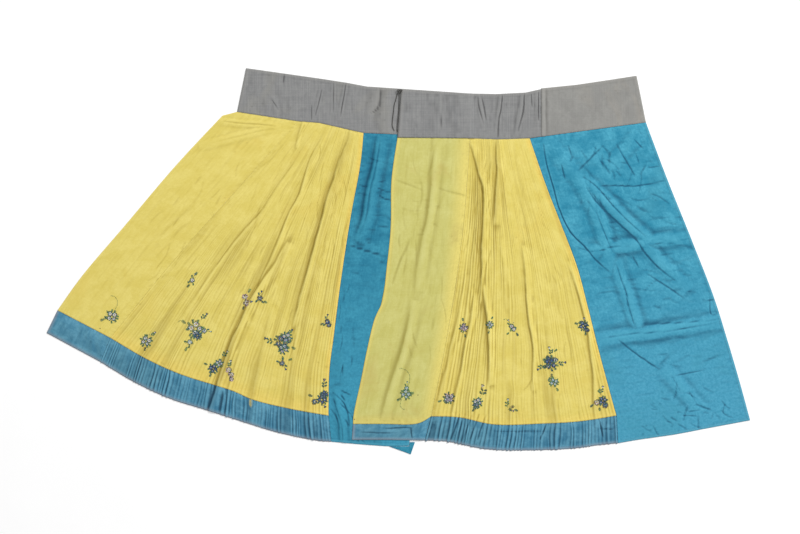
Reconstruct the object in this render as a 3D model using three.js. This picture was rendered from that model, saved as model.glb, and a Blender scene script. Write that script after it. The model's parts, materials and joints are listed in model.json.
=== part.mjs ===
// A pleated wrap skirt, laid open and flat: two aprons of yellow silk, each with a plain front panel,
// a finely pleated panel, a blue underlap and a blue hem band, sewn to one long cotton waistband.
// The right apron (B) lies on the underlap of the left one (A), and a thin tie is knotted where B starts.
// Millimetres, +Z up. The skirt lies on Z = 0 with its waist towards +Y.
// The origin is the middle of its outline, on the surface that it lies on.

import * as THREE from "three";

// Sizes of the cloth
const SILK_WALL = 1.4; // silk with its thin backing
const BAND_WALL = 2.4; // the cotton waistband is folded double
const SEAM_GAP = 0.4; // between two pieces that are sewn edge to edge
const LAYER_GAP = 0.35; // between two pieces that lie on each other

// Sizes of the pleats: knife pleats that lie to one side, fine at the waist and wider at the hem
const PLEATS_A = 70;
const PLEATS_B = 54;
const PLEAT_CREST = 0.34; // share of a pleat's width at which it stands highest
const PLEAT_RISE_WAIST = 0.7;
const PLEAT_RISE_HEM = 1.7;
const PLEAT_UNEVEN = 0.45; // share by which the lowest pleats stay under the highest
const HEM_TOOTH = 1.6; // how far a pleat's crest pokes out at the hem

// Sizes of the grids that the walls are made on
const SEAM_STEPS = 8; // straight steps in a seam from the waist to the hem band
const FREE_EDGE_STEPS = 2 * SEAM_STEPS; // straight steps in the free front edge of apron B
const EDGE_STEPS = 24; // straight steps in a smooth edge across a panel
const BAND_STEP = 8; // width of a column in the waistband
const FOLD_STEPS = 12; // straight steps in the crest of a fold
const LARGE_FOLD = 2.4; // a fold as high as this lifts the underside too
const LIFT_SHARE = 0.6; // how much of its height it lifts it by

// Where the layers of apron B come down past the hidden edge of apron A, as shares of their widths
const PANEL_RAMP = { start: 0.93, end: 1 };
const WAIST_RAMP = { start: 0.25, end: 0.3 };

// The tie
const TIE_RADIUS = 1;
const TIE_SIDES = 8;
const TIE_STEP = 5;
const KNOT_RADIUS = 3.6;
const KNOT_FLATTEN = 0.7;

const COLOURS = {
  yellow: 0xdfce70,
  greenYellow: 0xcec875,
  blueA: 0x388ca4,
  blueB: 0x4398b6,
  hemBlue: 0x53889d,
  grey: 0x8a8a89,
  warmGrey: 0x949492,
  tie: 0x55534f,
};

// Lines from the waist to the hem, left to right. Each row gives the places where the line starts at the
// waist, passes on its way, meets the seam of the hem band, and ends at the hem's edge.
const LINES = {
  left: {
    waist: [-466, 386],
    passes: [[-590, 253], [-725, 94], [-834, -34]],
    band: [-903, -130],
    edge: [-932, -190],
  },
  pleatsA: { waist: [-266, 371], passes: [[-430, 187], [-597, 0]], band: [-763, -203], edge: [-789, -267] },
  blueA: {
    waist: [-92, 340],
    passes: [[-102, 247], [-123, 136], [-141, 25], [-157, -87], [-171, -198], [-183, -296]],
    band: [-185, -409],
    edge: [-178, -478],
  },
  frontB: {
    waist: [-2, 328],
    passes: [
      [-18, 215], [-20, 90], [-30, -10], [-42, -103],
      [-64, -156], [-83, -235], [-99, -315], [-117, -398],
    ],
    band: [-120, -431],
    edge: [-123, -473],
  },
  pleatsB: { waist: [190, 326], passes: [[171, 80], [135, -165]], band: [87, -411], edge: [70, -475] },
  blueB: {
    waist: [348, 326],
    passes: [[390, 205], [433, 94], [475, -18], [504, -129], [532, -240], [562, -352]],
    band: [578, -409],
    edge: [582, -482],
  },
  hiddenEdge: { waist: [169, 329], passes: [[122, 56], [75, -216]], edge: [28, -489] },
  right: {
    waist: [656, 368],
    passes: [[712, 219], [773, 67], [831, -81], [867, -193], [900, -304]],
    edge: [932, -421],
  },
};

// Edges across a panel. Each row gives the places that the edge passes between the panel's two lines,
// at the waist, on the seam of the hem band and at the hem. A row with no places is straight.
const EDGES = {
  frontA: { waist: [[-427, 396]], band: [], hem: [] },
  pleatsA: {
    waist: [[-210, 367], [-150, 353]],
    band: [[-669, -258], [-573, -301], [-446, -341], [-382, -368], [-287, -391]],
    hem: [[-700, -320], [-605, -364], [-510, -394], [-414, -425], [-319, -454], [-223, -474]],
  },
  blueA: { waist: [], hem: [[-100, -485], [-25, -490]] },
  frontB: { waist: [], band: [[-39, -431], [45, -431]], hem: [[-29, -473], [34, -474]] },
  pleatsB: {
    waist: [[263, 323]],
    band: [[163, -414], [259, -433], [386, -430], [482, -424]],
    hem: [[132, -478], [227, -497], [322, -501], [450, -497], [530, -487]],
  },
  blueB: { waist: [], hem: [[640, -472], [736, -458], [831, -440]] },
};

// Sections across the waistband, each from its top edge to its bottom edge
const WAISTBAND_A = [
  { top: [-403, 511.5], bottom: [-427, 396] },
  { top: [-250, 490], bottom: [-266, 371] },
  { top: [-195, 482], bottom: [-210, 367] },
  { top: [-137, 473], bottom: [-150, 353] },
  { top: [-83, 463], bottom: [-92, 340] },
  { top: [169, 446], bottom: [169, 329] },
];
const WAISTBAND_B = [
  { top: [8, 455], bottom: [-2, 328] },
  { top: [185, 444.5], bottom: [190, 326] },
  { top: [262, 443], bottom: [263, 323] },
  { top: [337, 447], bottom: [349, 326] },
  { top: [378, 456], bottom: [378, 330] },
];
const WAISTBAND_C = [
  { top: [378, 458], bottom: [378, 330] },
  { top: [472, 467.5], bottom: [470, 342.5] },
  { top: [569, 482], bottom: [565, 355.5] },
  { top: [631, 491.6], bottom: [656, 368] },
];

// The largest folds. A fold is a soft ridge from one place to another: bow is how far its crest swings to
// its left on the way, half is its half width, and height is how high it stands.
const FOLDS = {
  a: [
    { from: [-219, 350], to: [-600, -190], bow: 0, half: 15, height: 2.4 },
    { from: [-186, 365], to: [-480, -380], bow: 0, half: 15, height: 3 },
    { from: [-120, 365], to: [-262, -260], bow: -6, half: 14, height: 5 },
    { from: [-298, 45], to: [-505, -440], bow: 22, half: 16, height: 4.5 },
    { from: [-246, 385], to: [-269, 300], bow: 0, half: 12, height: 2 },
    { from: [-480, 372], to: [-310, 356], bow: 0, half: 18, height: 2 },
    { from: [-530, 305], to: [-320, 356], bow: 0, half: 20, height: 2 },
    { from: [-300, 310], to: [-460, 145], bow: 0, half: 18, height: 1.3 },
    { from: [-510, 165], to: [-660, 40], bow: 0, half: 26, height: 1.6 },
  ],
  b: [
    { from: [105, 335], to: [50, -90], bow: 0, half: 22, height: 1.5 },
    { from: [45, -95], to: [-40, -420], bow: 0, half: 24, height: 2 },
    { from: [155, -210], to: [90, -430], bow: 0, half: 20, height: 2 },
    { from: [264, 340], to: [256, 95], bow: 0, half: 10, height: 2.6 },
    { from: [193, 320], to: [222, -110], bow: -22, half: 12, height: 3.2 },
    { from: [222, -40], to: [243, -330], bow: 0, half: 14, height: 4.4 },
    { from: [203, -90], to: [150, -380], bow: 0, half: 13, height: 3 },
    { from: [178, -45], to: [98, -450], bow: 0, half: 13, height: 2.6 },
    { from: [328, 40], to: [357, -345], bow: 0, half: 14, height: 3.6 },
    { from: [448, 0], to: [530, -450], bow: 0, half: 15, height: 3 },
  ],
  blueA: [
    { from: [-46, 325], to: [-104, 50], bow: 0, half: 24, height: 1 },
    { from: [-166, -330], to: [-148, -500], bow: 0, half: 16, height: 1.4 },
  ],
  blueB: [
    { from: [385, 325], to: [565, -40], bow: -42, half: 30, height: 2.4 },
    { from: [470, 235], to: [690, 30], bow: 0, half: 28, height: 3 },
    { from: [620, 80], to: [770, -80], bow: 0, half: 26, height: 1.8 },
    { from: [500, 22], to: [790, 62], bow: -8, half: 26, height: 1.8 },
    { from: [510, -212], to: [870, -155], bow: 0, half: 28, height: 2 },
    { from: [572, 10], to: [650, -215], bow: 0, half: 26, height: 1.8 },
    { from: [640, 340], to: [560, 250], bow: 0, half: 26, height: 1.6 },
    { from: [700, -280], to: [810, -400], bow: 0, half: 28, height: 1.6 },
  ],
  waistA: [
    { from: [-337, 448], to: [-314, 385], bow: 0, half: 13, height: 0.8 },
    { from: [-198, 475], to: [-224, 375], bow: 0, half: 12, height: 0.9 },
    { from: [-171, 480], to: [-171, 385], bow: 0, half: 12, height: 1.1 },
    { from: [-137, 478], to: [-154, 372], bow: 0, half: 12, height: 1.3 },
    { from: [-42, 468], to: [-80, 378], bow: 0, half: 12, height: 1.4 },
  ],
  waistB: [
    { from: [116, 458], to: [112, 345], bow: 0, half: 14, height: 2 },
    { from: [210, 450], to: [228, 345], bow: 0, half: 12, height: 1.4 },
    { from: [275, 455], to: [264, 350], bow: 0, half: 12, height: 2 },
    { from: [334, 458], to: [315, 330], bow: 0, half: 13, height: 2 },
    { from: [367, 470], to: [369, 330], bow: 0, half: 9, height: 1.6 },
    { from: [384, 475], to: [384, 315], bow: 0, half: 10, height: 2.4 },
  ],
};

// The turned-out corner of the blue underlap that peeps out below the hem
const CORNER = [
  [-24, -490.6],
  [32.9, -511.5],
  [44, -479.2],
  [30.4, -479.2],
  [28.5, -490.2],
];

// The tie: its two free strands run down from the knot, beside the start of apron B.
// Both lie on the waistband of apron A, so their places are in plan alone.
const KNOT = [0.5, 451];
const STRANDS = {
  left: [[-2.6, 446.6], [-5.5, 432], [-10.6, 414], [-13, 395], [-15.4, 372], [-15.6, 358], [-10.6, 345]],
  right: [[2.4, 446.2], [2.4, 430], [1.6, 410], [0.2, 392], [-1.6, 372], [-3.2, 354], [-2.8, 342]],
};

const place = ([x, y]) => new THREE.Vector2(x, y);
const mix = (a, b, share) => a.clone().lerp(b, share);
const evenly = (count) => Array.from({ length: count + 1 }, (_, i) => i / count);

// A smooth line through a few places, cut into equal straight steps
function smoothChain(places, steps) {
  return new THREE.SplineCurve(places.map(place)).getSpacedPoints(steps);
}

// The place at a share of a chain, where each of its steps counts the same
function atStep(chain, share) {
  const reach = share * (chain.length - 1);
  const step = Math.min(Math.floor(reach + 1e-9), chain.length - 2);
  return mix(chain[step], chain[step + 1], reach - step);
}

// The place at a share of a chain's length
function atLength(chain, share) {
  const lengths = chain.slice(1).map((end, i) => end.distanceTo(chain[i]));
  let left = share * lengths.reduce((sum, length) => sum + length, 0);
  let step = 0;
  while (step < lengths.length - 1 && left > lengths[step]) {
    left -= lengths[step];
    step += 1;
  }
  return mix(chain[step], chain[step + 1], left / lengths[step]);
}

// A line from the waist down, in three stretches: the cloth, the hem band, and both of them together.
// Panels that meet on it share its steps, so their walls run side by side.
function lineOf(name) {
  const { waist, passes, band, edge } = LINES[name];
  if (!band) return { whole: smoothChain([waist, ...passes, edge], SEAM_STEPS + 1) };
  const steps = name === "frontB" ? FREE_EDGE_STEPS : SEAM_STEPS;
  const cloth = smoothChain([waist, ...passes, band], steps);
  const hem = [place(band), place(edge)];
  return { cloth, hem, whole: [...cloth, place(edge)] };
}

// An edge across a panel, from one line's place to the next line's
function edgeOf(from, places, to, smooth) {
  if (smooth && places.length) {
    const ends = [from.toArray(), ...places, to.toArray()];
    return smoothChain(ends, EDGE_STEPS);
  }
  return [from, ...places.map(place), to];
}

// The plan of a panel between four edges: each point is blended from all four
function panelPlan(left, right, top, bottom) {
  return (u, v) => {
    const across = mix(atLength(top, u), atLength(bottom, u), v);
    const down = mix(atStep(left, v), atStep(right, v), u);
    const corners = mix(mix(top[0], top.at(-1), u), mix(bottom[0], bottom.at(-1), u), v);
    return across.add(down).sub(corners);
  };
}

// Folds, as heights over the plan
function foldChain({ from, to, bow }) {
  const start = place(from);
  const along = place(to).sub(start);
  const side = new THREE.Vector2(along.y, -along.x).normalize();
  return evenly(FOLD_STEPS).map((t) =>
    start.clone().addScaledVector(along, t).addScaledVector(side, bow * 4 * t * (1 - t)),
  );
}

for (const fold of Object.values(FOLDS).flat()) fold.chain = foldChain(fold);

// How high one fold stands over a place: highest on its crest, and fading out at both ends
function foldHeight(fold, at) {
  let nearest = Infinity;
  let along = 0;
  for (let step = 0; step < FOLD_STEPS; step += 1) {
    const start = fold.chain[step];
    const run = fold.chain[step + 1].clone().sub(start);
    const share = THREE.MathUtils.clamp(at.clone().sub(start).dot(run) / run.lengthSq(), 0, 1);
    const away = start.clone().addScaledVector(run, share).distanceTo(at);
    if (away < nearest) {
      nearest = away;
      along = (step + share) / FOLD_STEPS;
    }
  }
  if (nearest >= fold.half) return 0;
  const slope = (1 - (nearest / fold.half) ** 2) ** 2;
  return fold.height * slope * Math.sqrt(Math.sin(Math.PI * along));
}

function highestFold(folds, at) {
  return Math.max(0, ...folds.map((fold) => foldHeight(fold, at)));
}

// Pleats, as the columns of a panel: each has a low side and a crest
function pleatColumns(count) {
  const columns = [];
  for (let pleat = 0; pleat < count; pleat += 1) {
    columns.push(pleat / count, (pleat + PLEAT_CREST) / count);
  }
  return [...columns, 1];
}

// Steady, uneven values from 0 to 1, one for each pleat
function unevenness(pleat) {
  const value = Math.sin(pleat * 12.9898 + 4.1) * 43758.5453;
  return value - Math.floor(value);
}

// How high the pleats stand at a column, by how far down the skirt it is
function pleatRise(column, down) {
  if (column % 2 === 0) return 0;
  const full = THREE.MathUtils.lerp(PLEAT_RISE_WAIST, PLEAT_RISE_HEM, down);
  return full * (1 - PLEAT_UNEVEN * unevenness((column - 1) / 2));
}

// How high a piece's underside lies, where it comes down past the layer beneath it
function bedHeight(height, ramp, u) {
  return height * (1 - THREE.MathUtils.clamp((u - ramp.start) / (ramp.end - ramp.start), 0, 1));
}

// Moves the outer points of a sewn side towards the next ones, by half of the seam's gap
function insetSeams(plan, seams) {
  const lastColumn = plan.length - 1;
  const lastRow = plan[0].length - 1;
  const inset = (from, to) => from.addScaledVector(to.clone().sub(from).normalize(), SEAM_GAP / 2);
  for (let row = 0; row <= lastRow; row += 1) {
    if (seams.left) inset(plan[0][row], plan[1][row]);
    if (seams.right) inset(plan[lastColumn][row], plan[lastColumn - 1][row]);
  }
  for (let column = 0; column <= lastColumn; column += 1) {
    if (seams.waist) inset(plan[column][0], plan[column][1]);
    if (seams.hem) inset(plan[column][lastRow], plan[column][lastRow - 1]);
  }
}

// The wall of one piece: a fine upper skin, and an underside that takes only some of its columns and rows.
// plan(u, v) gives the place in plan, bed(u) the height that it lies at, rise(column, v) its pleats.
function clothWall({ plan, columns, rows, skipColumns, skipRows, seams, wall, bed, rise, folds, tooth }) {
  const points = columns.map((u) => rows.map((v) => plan(u, v)));
  if (tooth) pushOutCrests(points, tooth);
  insetSeams(points, seams);
  const lifting = folds.filter((fold) => fold.height >= LARGE_FOLD);
  const vertices = [];
  const addVertex = (at, height) => vertices.push(at.x, at.y, height) / 3 - 1;
  const upper = points.map((line, column) =>
    line.map((at, row) => {
      const pleat = rise ? rise(column, rows[row]) : 0;
      return addVertex(at, bed(columns[column]) + wall + pleat + highestFold(folds, at));
    }),
  );
  const kept = (list, skip) => list.filter((_, i) => i % skip === 0);
  const under = kept(points, skipColumns).map((line, column) =>
    kept(line, skipRows).map((at) => {
      const lift = LIFT_SHARE * highestFold(lifting, at);
      return addVertex(at, bed(columns[column * skipColumns]) + lift);
    }),
  );
  const triangles = [...skinTriangles(upper, false), ...skinTriangles(under, true)];
  triangles.push(...rimTriangles(rimOf(upper), rimOf(under), skipColumns, skipRows));
  const geometry = new THREE.BufferGeometry();
  geometry.setAttribute("position", new THREE.Float32BufferAttribute(vertices, 3));
  geometry.setIndex(triangles);
  geometry.computeVertexNormals();
  return geometry;
}

// Moves the crest of each pleat out at the hem, so that its edge is toothed
function pushOutCrests(points, tooth) {
  for (let column = 1; column < points.length; column += 2) {
    const last = points[column].length - 1;
    const end = points[column][last];
    const out = end.clone().sub(points[column][last - 1]).normalize();
    end.addScaledVector(out, tooth);
  }
}

function skinTriangles(grid, facesDown) {
  const triangles = [];
  for (let column = 0; column < grid.length - 1; column += 1) {
    for (let row = 0; row < grid[0].length - 1; row += 1) {
      const a = grid[column][row];
      const b = grid[column + 1][row];
      const c = grid[column][row + 1];
      const d = grid[column + 1][row + 1];
      if (facesDown) triangles.push(a, b, c, b, d, c);
      else triangles.push(a, c, b, b, c, d);
    }
  }
  return triangles;
}

// The four sides of a skin: down its left, along its hem, up its right and back along its waist
function rimOf(grid) {
  const left = grid[0];
  const hem = grid.map((line) => line.at(-1));
  const right = [...grid.at(-1)].reverse();
  const waist = grid.map((line) => line[0]).reverse();
  return { left, hem, right, waist };
}

// The narrow wall round the rim, as fans from the underside's fewer points to the upper skin's many
function rimTriangles(upper, under, skipColumns, skipRows) {
  const triangles = [];
  const skips = { left: skipRows, hem: skipColumns, right: skipRows, waist: skipColumns };
  for (const [side, skip] of Object.entries(skips)) {
    const middle = Math.floor(skip / 2);
    for (let step = 0; step < under[side].length - 1; step += 1) {
      const [start, end] = under[side].slice(step, step + 2);
      const above = upper[side].slice(step * skip, (step + 1) * skip + 1);
      for (let i = 0; i < skip; i += 1) triangles.push(i < middle ? start : end, above[i + 1], above[i]);
      triangles.push(start, end, above[middle]);
    }
  }
  return triangles;
}

const skirt = new THREE.Group();
skirt.name = "embroidered_skirt";

function addPiece(name, geometry, color, roughness) {
  const material = new THREE.MeshStandardMaterial({ color, roughness, metalness: 0 });
  material.name = name;
  const mesh = new THREE.Mesh(geometry, material);
  mesh.name = name;
  skirt.add(mesh);
  return mesh;
}

const onFloor = () => 0;
const lines = Object.fromEntries(Object.keys(LINES).map((name) => [name, lineOf(name)]));

// The yellow cloth of an apron's panel, and the hem band below it
function addPanelWithHem(panel, left, right, edges, cut) {
  const waist = edgeOf(left.cloth[0], edges.waist, right.cloth[0], false);
  const band = edgeOf(left.hem[0], edges.band, right.hem[0], true);
  const hem = edgeOf(left.hem[1], edges.hem, right.hem[1], true);
  const seams = { left: cut.leftSewn, right: cut.rightSewn, waist: true, hem: true };
  const { columns, skipColumns, bed, folds } = cut;
  const common = { columns, skipColumns, bed, folds, wall: SILK_WALL };
  addPiece(
    `panel_${panel}`,
    clothWall({
      ...common,
      plan: panelPlan(left.cloth, right.cloth, waist, band),
      rows: evenly(cut.rows),
      skipRows: cut.skipRows,
      seams,
      rise: cut.pleated && ((column, v) => pleatRise(column, v)),
    }),
    cut.colour,
    0.55,
  );
  addPiece(
    `hem_${panel}`,
    clothWall({
      ...common,
      plan: panelPlan(left.hem, right.hem, band, hem),
      rows: [0, 1],
      skipRows: 1,
      seams: { ...seams, hem: false },
      rise: cut.pleated && ((column) => pleatRise(column, 1)),
      tooth: cut.pleated ? HEM_TOOTH : 0,
    }),
    COLOURS.hemBlue,
    0.5,
  );
}

// A blue underlap, which has no hem band
function addUnderlap(name, left, right, edges, cut) {
  const waist = edgeOf(left[0], edges.waist, right[0], false);
  const hem = edgeOf(left.at(-1), edges.hem, right.at(-1), true);
  const rows = cut.rowsPerStep * (SEAM_STEPS + 1);
  const geometry = clothWall({
    plan: panelPlan(left, right, waist, hem),
    columns: evenly(cut.columns),
    rows: evenly(rows),
    skipColumns: 2,
    skipRows: cut.rowsPerStep,
    seams: { left: true, right: false, waist: true, hem: false },
    wall: SILK_WALL,
    bed: onFloor,
    folds: cut.folds,
  });
  addPiece(name, geometry, cut.colour, 0.45);
}

// A length of the waistband, straight from its top edge to its bottom edge at every place
function addWaistband(name, sections, { bed, folds, leftSewn, rightSewn, colour }) {
  const top = sections.map((section) => place(section.top));
  const bottom = sections.map((section) => place(section.bottom));
  const columns = [0];
  for (let part = 0; part < sections.length - 1; part += 1) {
    const pairs = Math.max(1, Math.round(bottom[part].distanceTo(bottom[part + 1]) / (2 * BAND_STEP)));
    evenly(2 * pairs).slice(1).forEach((share) => columns.push((part + share) / (sections.length - 1)));
  }
  const rows = evenly(3);
  const geometry = clothWall({
    plan: (u, v) => mix(atStep(top, u), atStep(bottom, u), v),
    columns,
    rows,
    skipColumns: 2,
    skipRows: rows.length - 1,
    seams: { left: leftSewn, right: rightSewn, waist: false, hem: true },
    wall: BAND_WALL,
    bed,
    folds,
  });
  addPiece(name, geometry, colour, 0.9);
}

// Apron A, on the floor
addPanelWithHem("a_flat", lines.left, lines.pleatsA, EDGES.frontA, {
  columns: evenly(10),
  skipColumns: 2,
  rows: 2 * SEAM_STEPS,
  skipRows: 2,
  bed: onFloor,
  folds: FOLDS.a,
  leftSewn: false,
  rightSewn: true,
  colour: COLOURS.yellow,
});
addPanelWithHem("a_pleated", lines.pleatsA, lines.blueA, EDGES.pleatsA, {
  columns: pleatColumns(PLEATS_A),
  skipColumns: 4,
  rows: SEAM_STEPS,
  skipRows: 1,
  bed: onFloor,
  folds: FOLDS.a,
  pleated: true,
  leftSewn: true,
  rightSewn: true,
  colour: COLOURS.yellow,
});
addUnderlap("underlap_a", lines.blueA.whole, lines.hiddenEdge.whole, EDGES.blueA, {
  columns: 12,
  rowsPerStep: 2,
  folds: FOLDS.blueA,
  colour: COLOURS.blueA,
});

// Apron B: its front panel lies on the underlap of A and comes down to the floor past its hidden edge
const frontRamp = (u) => bedHeight(SILK_WALL + LAYER_GAP, PANEL_RAMP, u);
const rampMiddle = (PANEL_RAMP.start + PANEL_RAMP.end) / 2;
addPanelWithHem("b_flat", lines.frontB, lines.pleatsB, EDGES.frontB, {
  columns: [...evenly(12).map((share) => share * PANEL_RAMP.start), rampMiddle, 1],
  skipColumns: 2,
  rows: FREE_EDGE_STEPS,
  skipRows: 1,
  bed: frontRamp,
  folds: FOLDS.b,
  leftSewn: false,
  rightSewn: true,
  colour: COLOURS.greenYellow,
});
addPanelWithHem("b_pleated", lines.pleatsB, lines.blueB, EDGES.pleatsB, {
  columns: pleatColumns(PLEATS_B),
  skipColumns: 4,
  rows: SEAM_STEPS,
  skipRows: 1,
  bed: onFloor,
  folds: FOLDS.b,
  pleated: true,
  leftSewn: true,
  rightSewn: true,
  colour: COLOURS.yellow,
});
addUnderlap("underlap_b", lines.blueB.whole, lines.right.whole, EDGES.blueB, {
  columns: 14,
  rowsPerStep: 3,
  folds: FOLDS.blueB,
  colour: COLOURS.blueB,
});

// The waistband, in three lengths
addWaistband("waistband_a", WAISTBAND_A, {
  bed: onFloor,
  folds: FOLDS.waistA,
  leftSewn: false,
  rightSewn: false,
  colour: COLOURS.grey,
});
addWaistband("waistband_b", WAISTBAND_B, {
  bed: (u) => bedHeight(BAND_WALL + LAYER_GAP, WAIST_RAMP, u),
  folds: FOLDS.waistB,
  leftSewn: false,
  rightSewn: true,
  colour: COLOURS.grey,
});
addWaistband("waistband_c", WAISTBAND_C, {
  bed: onFloor,
  folds: FOLDS.waistB,
  leftSewn: true,
  rightSewn: false,
  colour: COLOURS.warmGrey,
});

// The corner of the underlap that peeps out
const cornerShape = new THREE.Shape(CORNER.map(place));
const cornerGeometry = new THREE.ExtrudeGeometry(cornerShape, { depth: SILK_WALL, bevelEnabled: false });
addPiece("underlap_a_corner", cornerGeometry, COLOURS.blueA, 0.45);

// The tie: a flattened knot and two round strands, which lie on the waistband of A
const tieHeight = BAND_WALL + LAYER_GAP + TIE_RADIUS;
const knotGeometry = new THREE.SphereGeometry(KNOT_RADIUS, 10, 6);
const knot = addPiece("tie_knot", knotGeometry, COLOURS.tie, 0.8);
knot.rotation.x = Math.PI / 2;
knot.scale.y = KNOT_FLATTEN;
knot.position.set(...KNOT, BAND_WALL + LAYER_GAP + KNOT_RADIUS * KNOT_FLATTEN);

for (const [side, route] of Object.entries(STRANDS)) {
  const path = new THREE.CatmullRomCurve3(route.map(([x, y]) => new THREE.Vector3(x, y, tieHeight)));
  const section = new THREE.Shape();
  section.absarc(0, 0, TIE_RADIUS, 0, 2 * Math.PI);
  const geometry = new THREE.ExtrudeGeometry(section, {
    steps: Math.round(path.getLength() / TIE_STEP),
    curveSegments: TIE_SIDES / 2,
    bevelEnabled: false,
    extrudePath: path,
  });
  addPiece(`tie_strand_${side}`, geometry, COLOURS.tie, 0.8);
}

export default skirt;
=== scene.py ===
# %% [markdown]
# # An embroidered wrap skirt, laid open and flat
#
# The skirt is two aprons of yellow silk on one cotton waistband. Each apron has a plain front panel, a
# finely pleated panel and a blue underlap, and a blue band runs along its hem. It lies on a pale table
# and is seen from straight above.
#
# The solids come first: they hold the sizes. This script dresses each of them with a thin shell of cloth
# of the same cut, and adds what cloth really shows: creases, weave, wear, stitches and embroidery.
# Sizes are written in millimetres, as a cutter would, and become metres when a mesh is made.

# %% Load the solids
import json
import math
from collections import namedtuple

import bmesh
import bpy
import numpy as np
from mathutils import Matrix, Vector
from mathutils.bvhtree import BVHTree

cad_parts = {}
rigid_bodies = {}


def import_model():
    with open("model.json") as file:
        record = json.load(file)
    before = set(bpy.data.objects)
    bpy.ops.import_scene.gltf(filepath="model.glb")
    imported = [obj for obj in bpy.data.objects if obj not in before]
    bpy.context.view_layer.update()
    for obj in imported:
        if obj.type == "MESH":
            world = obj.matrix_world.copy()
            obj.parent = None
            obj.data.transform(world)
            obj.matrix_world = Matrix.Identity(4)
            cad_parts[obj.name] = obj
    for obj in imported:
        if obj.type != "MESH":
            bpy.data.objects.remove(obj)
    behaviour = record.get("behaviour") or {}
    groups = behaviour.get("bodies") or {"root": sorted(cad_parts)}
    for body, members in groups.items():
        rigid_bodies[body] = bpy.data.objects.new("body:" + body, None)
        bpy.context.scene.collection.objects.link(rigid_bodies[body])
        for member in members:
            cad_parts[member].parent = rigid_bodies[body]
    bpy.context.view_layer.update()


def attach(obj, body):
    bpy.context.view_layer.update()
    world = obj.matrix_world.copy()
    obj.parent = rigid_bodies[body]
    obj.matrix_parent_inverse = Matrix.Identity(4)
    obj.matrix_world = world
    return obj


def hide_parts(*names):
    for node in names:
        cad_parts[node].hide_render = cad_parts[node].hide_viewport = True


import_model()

MM = 0.001

# %% [markdown]
# ## Camera, table and light
#
# The photo looks straight down. A long lens keeps the edges of the skirt from leaning outwards. The view
# is 2.12 m wide at the table, so the lens and the sensor give the camera's height.
# Soft light comes from above the waistband and a little from the right, low enough to model the folds.

# %% Camera and table
scene = bpy.context.scene
scene.view_settings.view_transform = "Standard"
VIEW_WIDTH = 2.12
VIEW_MIDDLE = (0.0045, -0.0151)
LENS, SENSOR = 70.0, 36.0
FARTHEST = 60

camera = bpy.data.objects.new("camera", bpy.data.cameras.new("camera"))
camera.data.lens = LENS
camera.data.sensor_width = SENSOR
camera.location = (*VIEW_MIDDLE, VIEW_WIDTH * LENS / SENSOR)
camera.data.clip_end = FARTHEST
scene.collection.objects.link(camera)
scene.camera = camera


def mesh_object(name, vertices, faces, edges=()):
    """A new object in the scene from plain lists of points, in metres, and faces."""
    mesh = bpy.data.meshes.new(name)
    mesh.from_pydata(vertices, edges, faces)
    made = bpy.data.objects.new(name, mesh)
    scene.collection.objects.link(made)
    return made


TABLE_HALF = 6.0
TABLE_TOP = -0.0002
corners = [(x * TABLE_HALF, y * TABLE_HALF, TABLE_TOP) for x, y in ((-1, -1), (1, -1), (1, 1), (-1, 1))]
table = mesh_object("table", corners, [(0, 1, 2, 3)])
print("camera height:", round(camera.location.z, 3), "m")

# %% Light
# place in metres, size and power of each square soft light
LIGHTS = {"window": ((4.6, 5.4, 5.3), 3.0, 525), "ceiling": ((0, 0, 5.0), 4.0, 50)}
ROOM_LIGHT = 0.47

for name, (place, size, power) in LIGHTS.items():
    light = bpy.data.lights.new(name, "AREA")
    light.size, light.energy = size, power
    lamp = bpy.data.objects.new(name, light)
    lamp.location = place
    lamp.rotation_euler = (Vector() - Vector(place)).to_track_quat("-Z", "Y").to_euler()
    scene.collection.objects.link(lamp)
scene.world = bpy.data.worlds.new("studio")
scene.world.use_nodes = True
background = scene.world.node_tree.nodes["Background"].inputs
background["Color"].default_value = (1, 1, 1, 1)
background["Strength"].default_value = ROOM_LIGHT
print("lights:", ", ".join(LIGHTS))

# %% [markdown]
# ## The cut
#
# Every piece of this skirt lies between lines that run from the waist to the hem. A line is given by the
# places that it passes, and a smooth curve goes through them. Two pieces that are sewn together share
# their line, so they meet without a gap.

# %% Thicknesses and gaps, in millimetres
WALL = 1.4
BAND_WALL = 2.4
LAYER_GAP = 0.35
SEAM_GAP = 0.24
print("walls:", WALL, "and", BAND_WALL, "mm")

# %% Lines of the cut
# Each line runs from the waist past some places to the hem band, and on to the lower edge, in millimetres.
LINES = {
    "left": dict(
        waist=(-466, 386),
        passes=[(-590, 253), (-725, 94), (-834, -34)],
        band=(-903, -130),
        edge=(-932, -190),
    ),
    "pleats_a": dict(
        waist=(-266, 371),
        passes=[(-430, 187), (-597, 0)],
        band=(-763, -203),
        edge=(-789, -267),
    ),
    "blue_a": dict(
        waist=(-92, 340),
        passes=[(-102, 247), (-123, 136), (-141, 25), (-157, -87), (-171, -198), (-183, -296)],
        band=(-185, -409),
        edge=(-178, -478),
    ),
    "front_b": dict(
        waist=(-2, 328),
        passes=[(-18, 215), (-20, 90), (-30, -10), (-42, -103), (-64, -156), (-83, -235), (-99, -315),
                (-117, -398)],
        band=(-120, -431),
        edge=(-123, -473),
    ),
    "pleats_b": dict(waist=(190, 326), passes=[(171, 80), (135, -165)], band=(87, -411), edge=(70, -475)),
    "blue_b": dict(
        waist=(348, 326),
        passes=[(390, 205), (433, 94), (475, -18), (504, -129), (532, -240), (562, -352)],
        band=(578, -409),
        edge=(582, -482),
    ),
    "hidden": dict(waist=(169, 329), passes=[(122, 56), (75, -216)], band=None, edge=(28, -489)),
    "right": dict(
        waist=(656, 368),
        passes=[(712, 219), (773, 67), (831, -81), (867, -193), (900, -304)],
        band=None,
        edge=(932, -421),
    ),
}
print("lines of the cut:", ", ".join(LINES))

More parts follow.
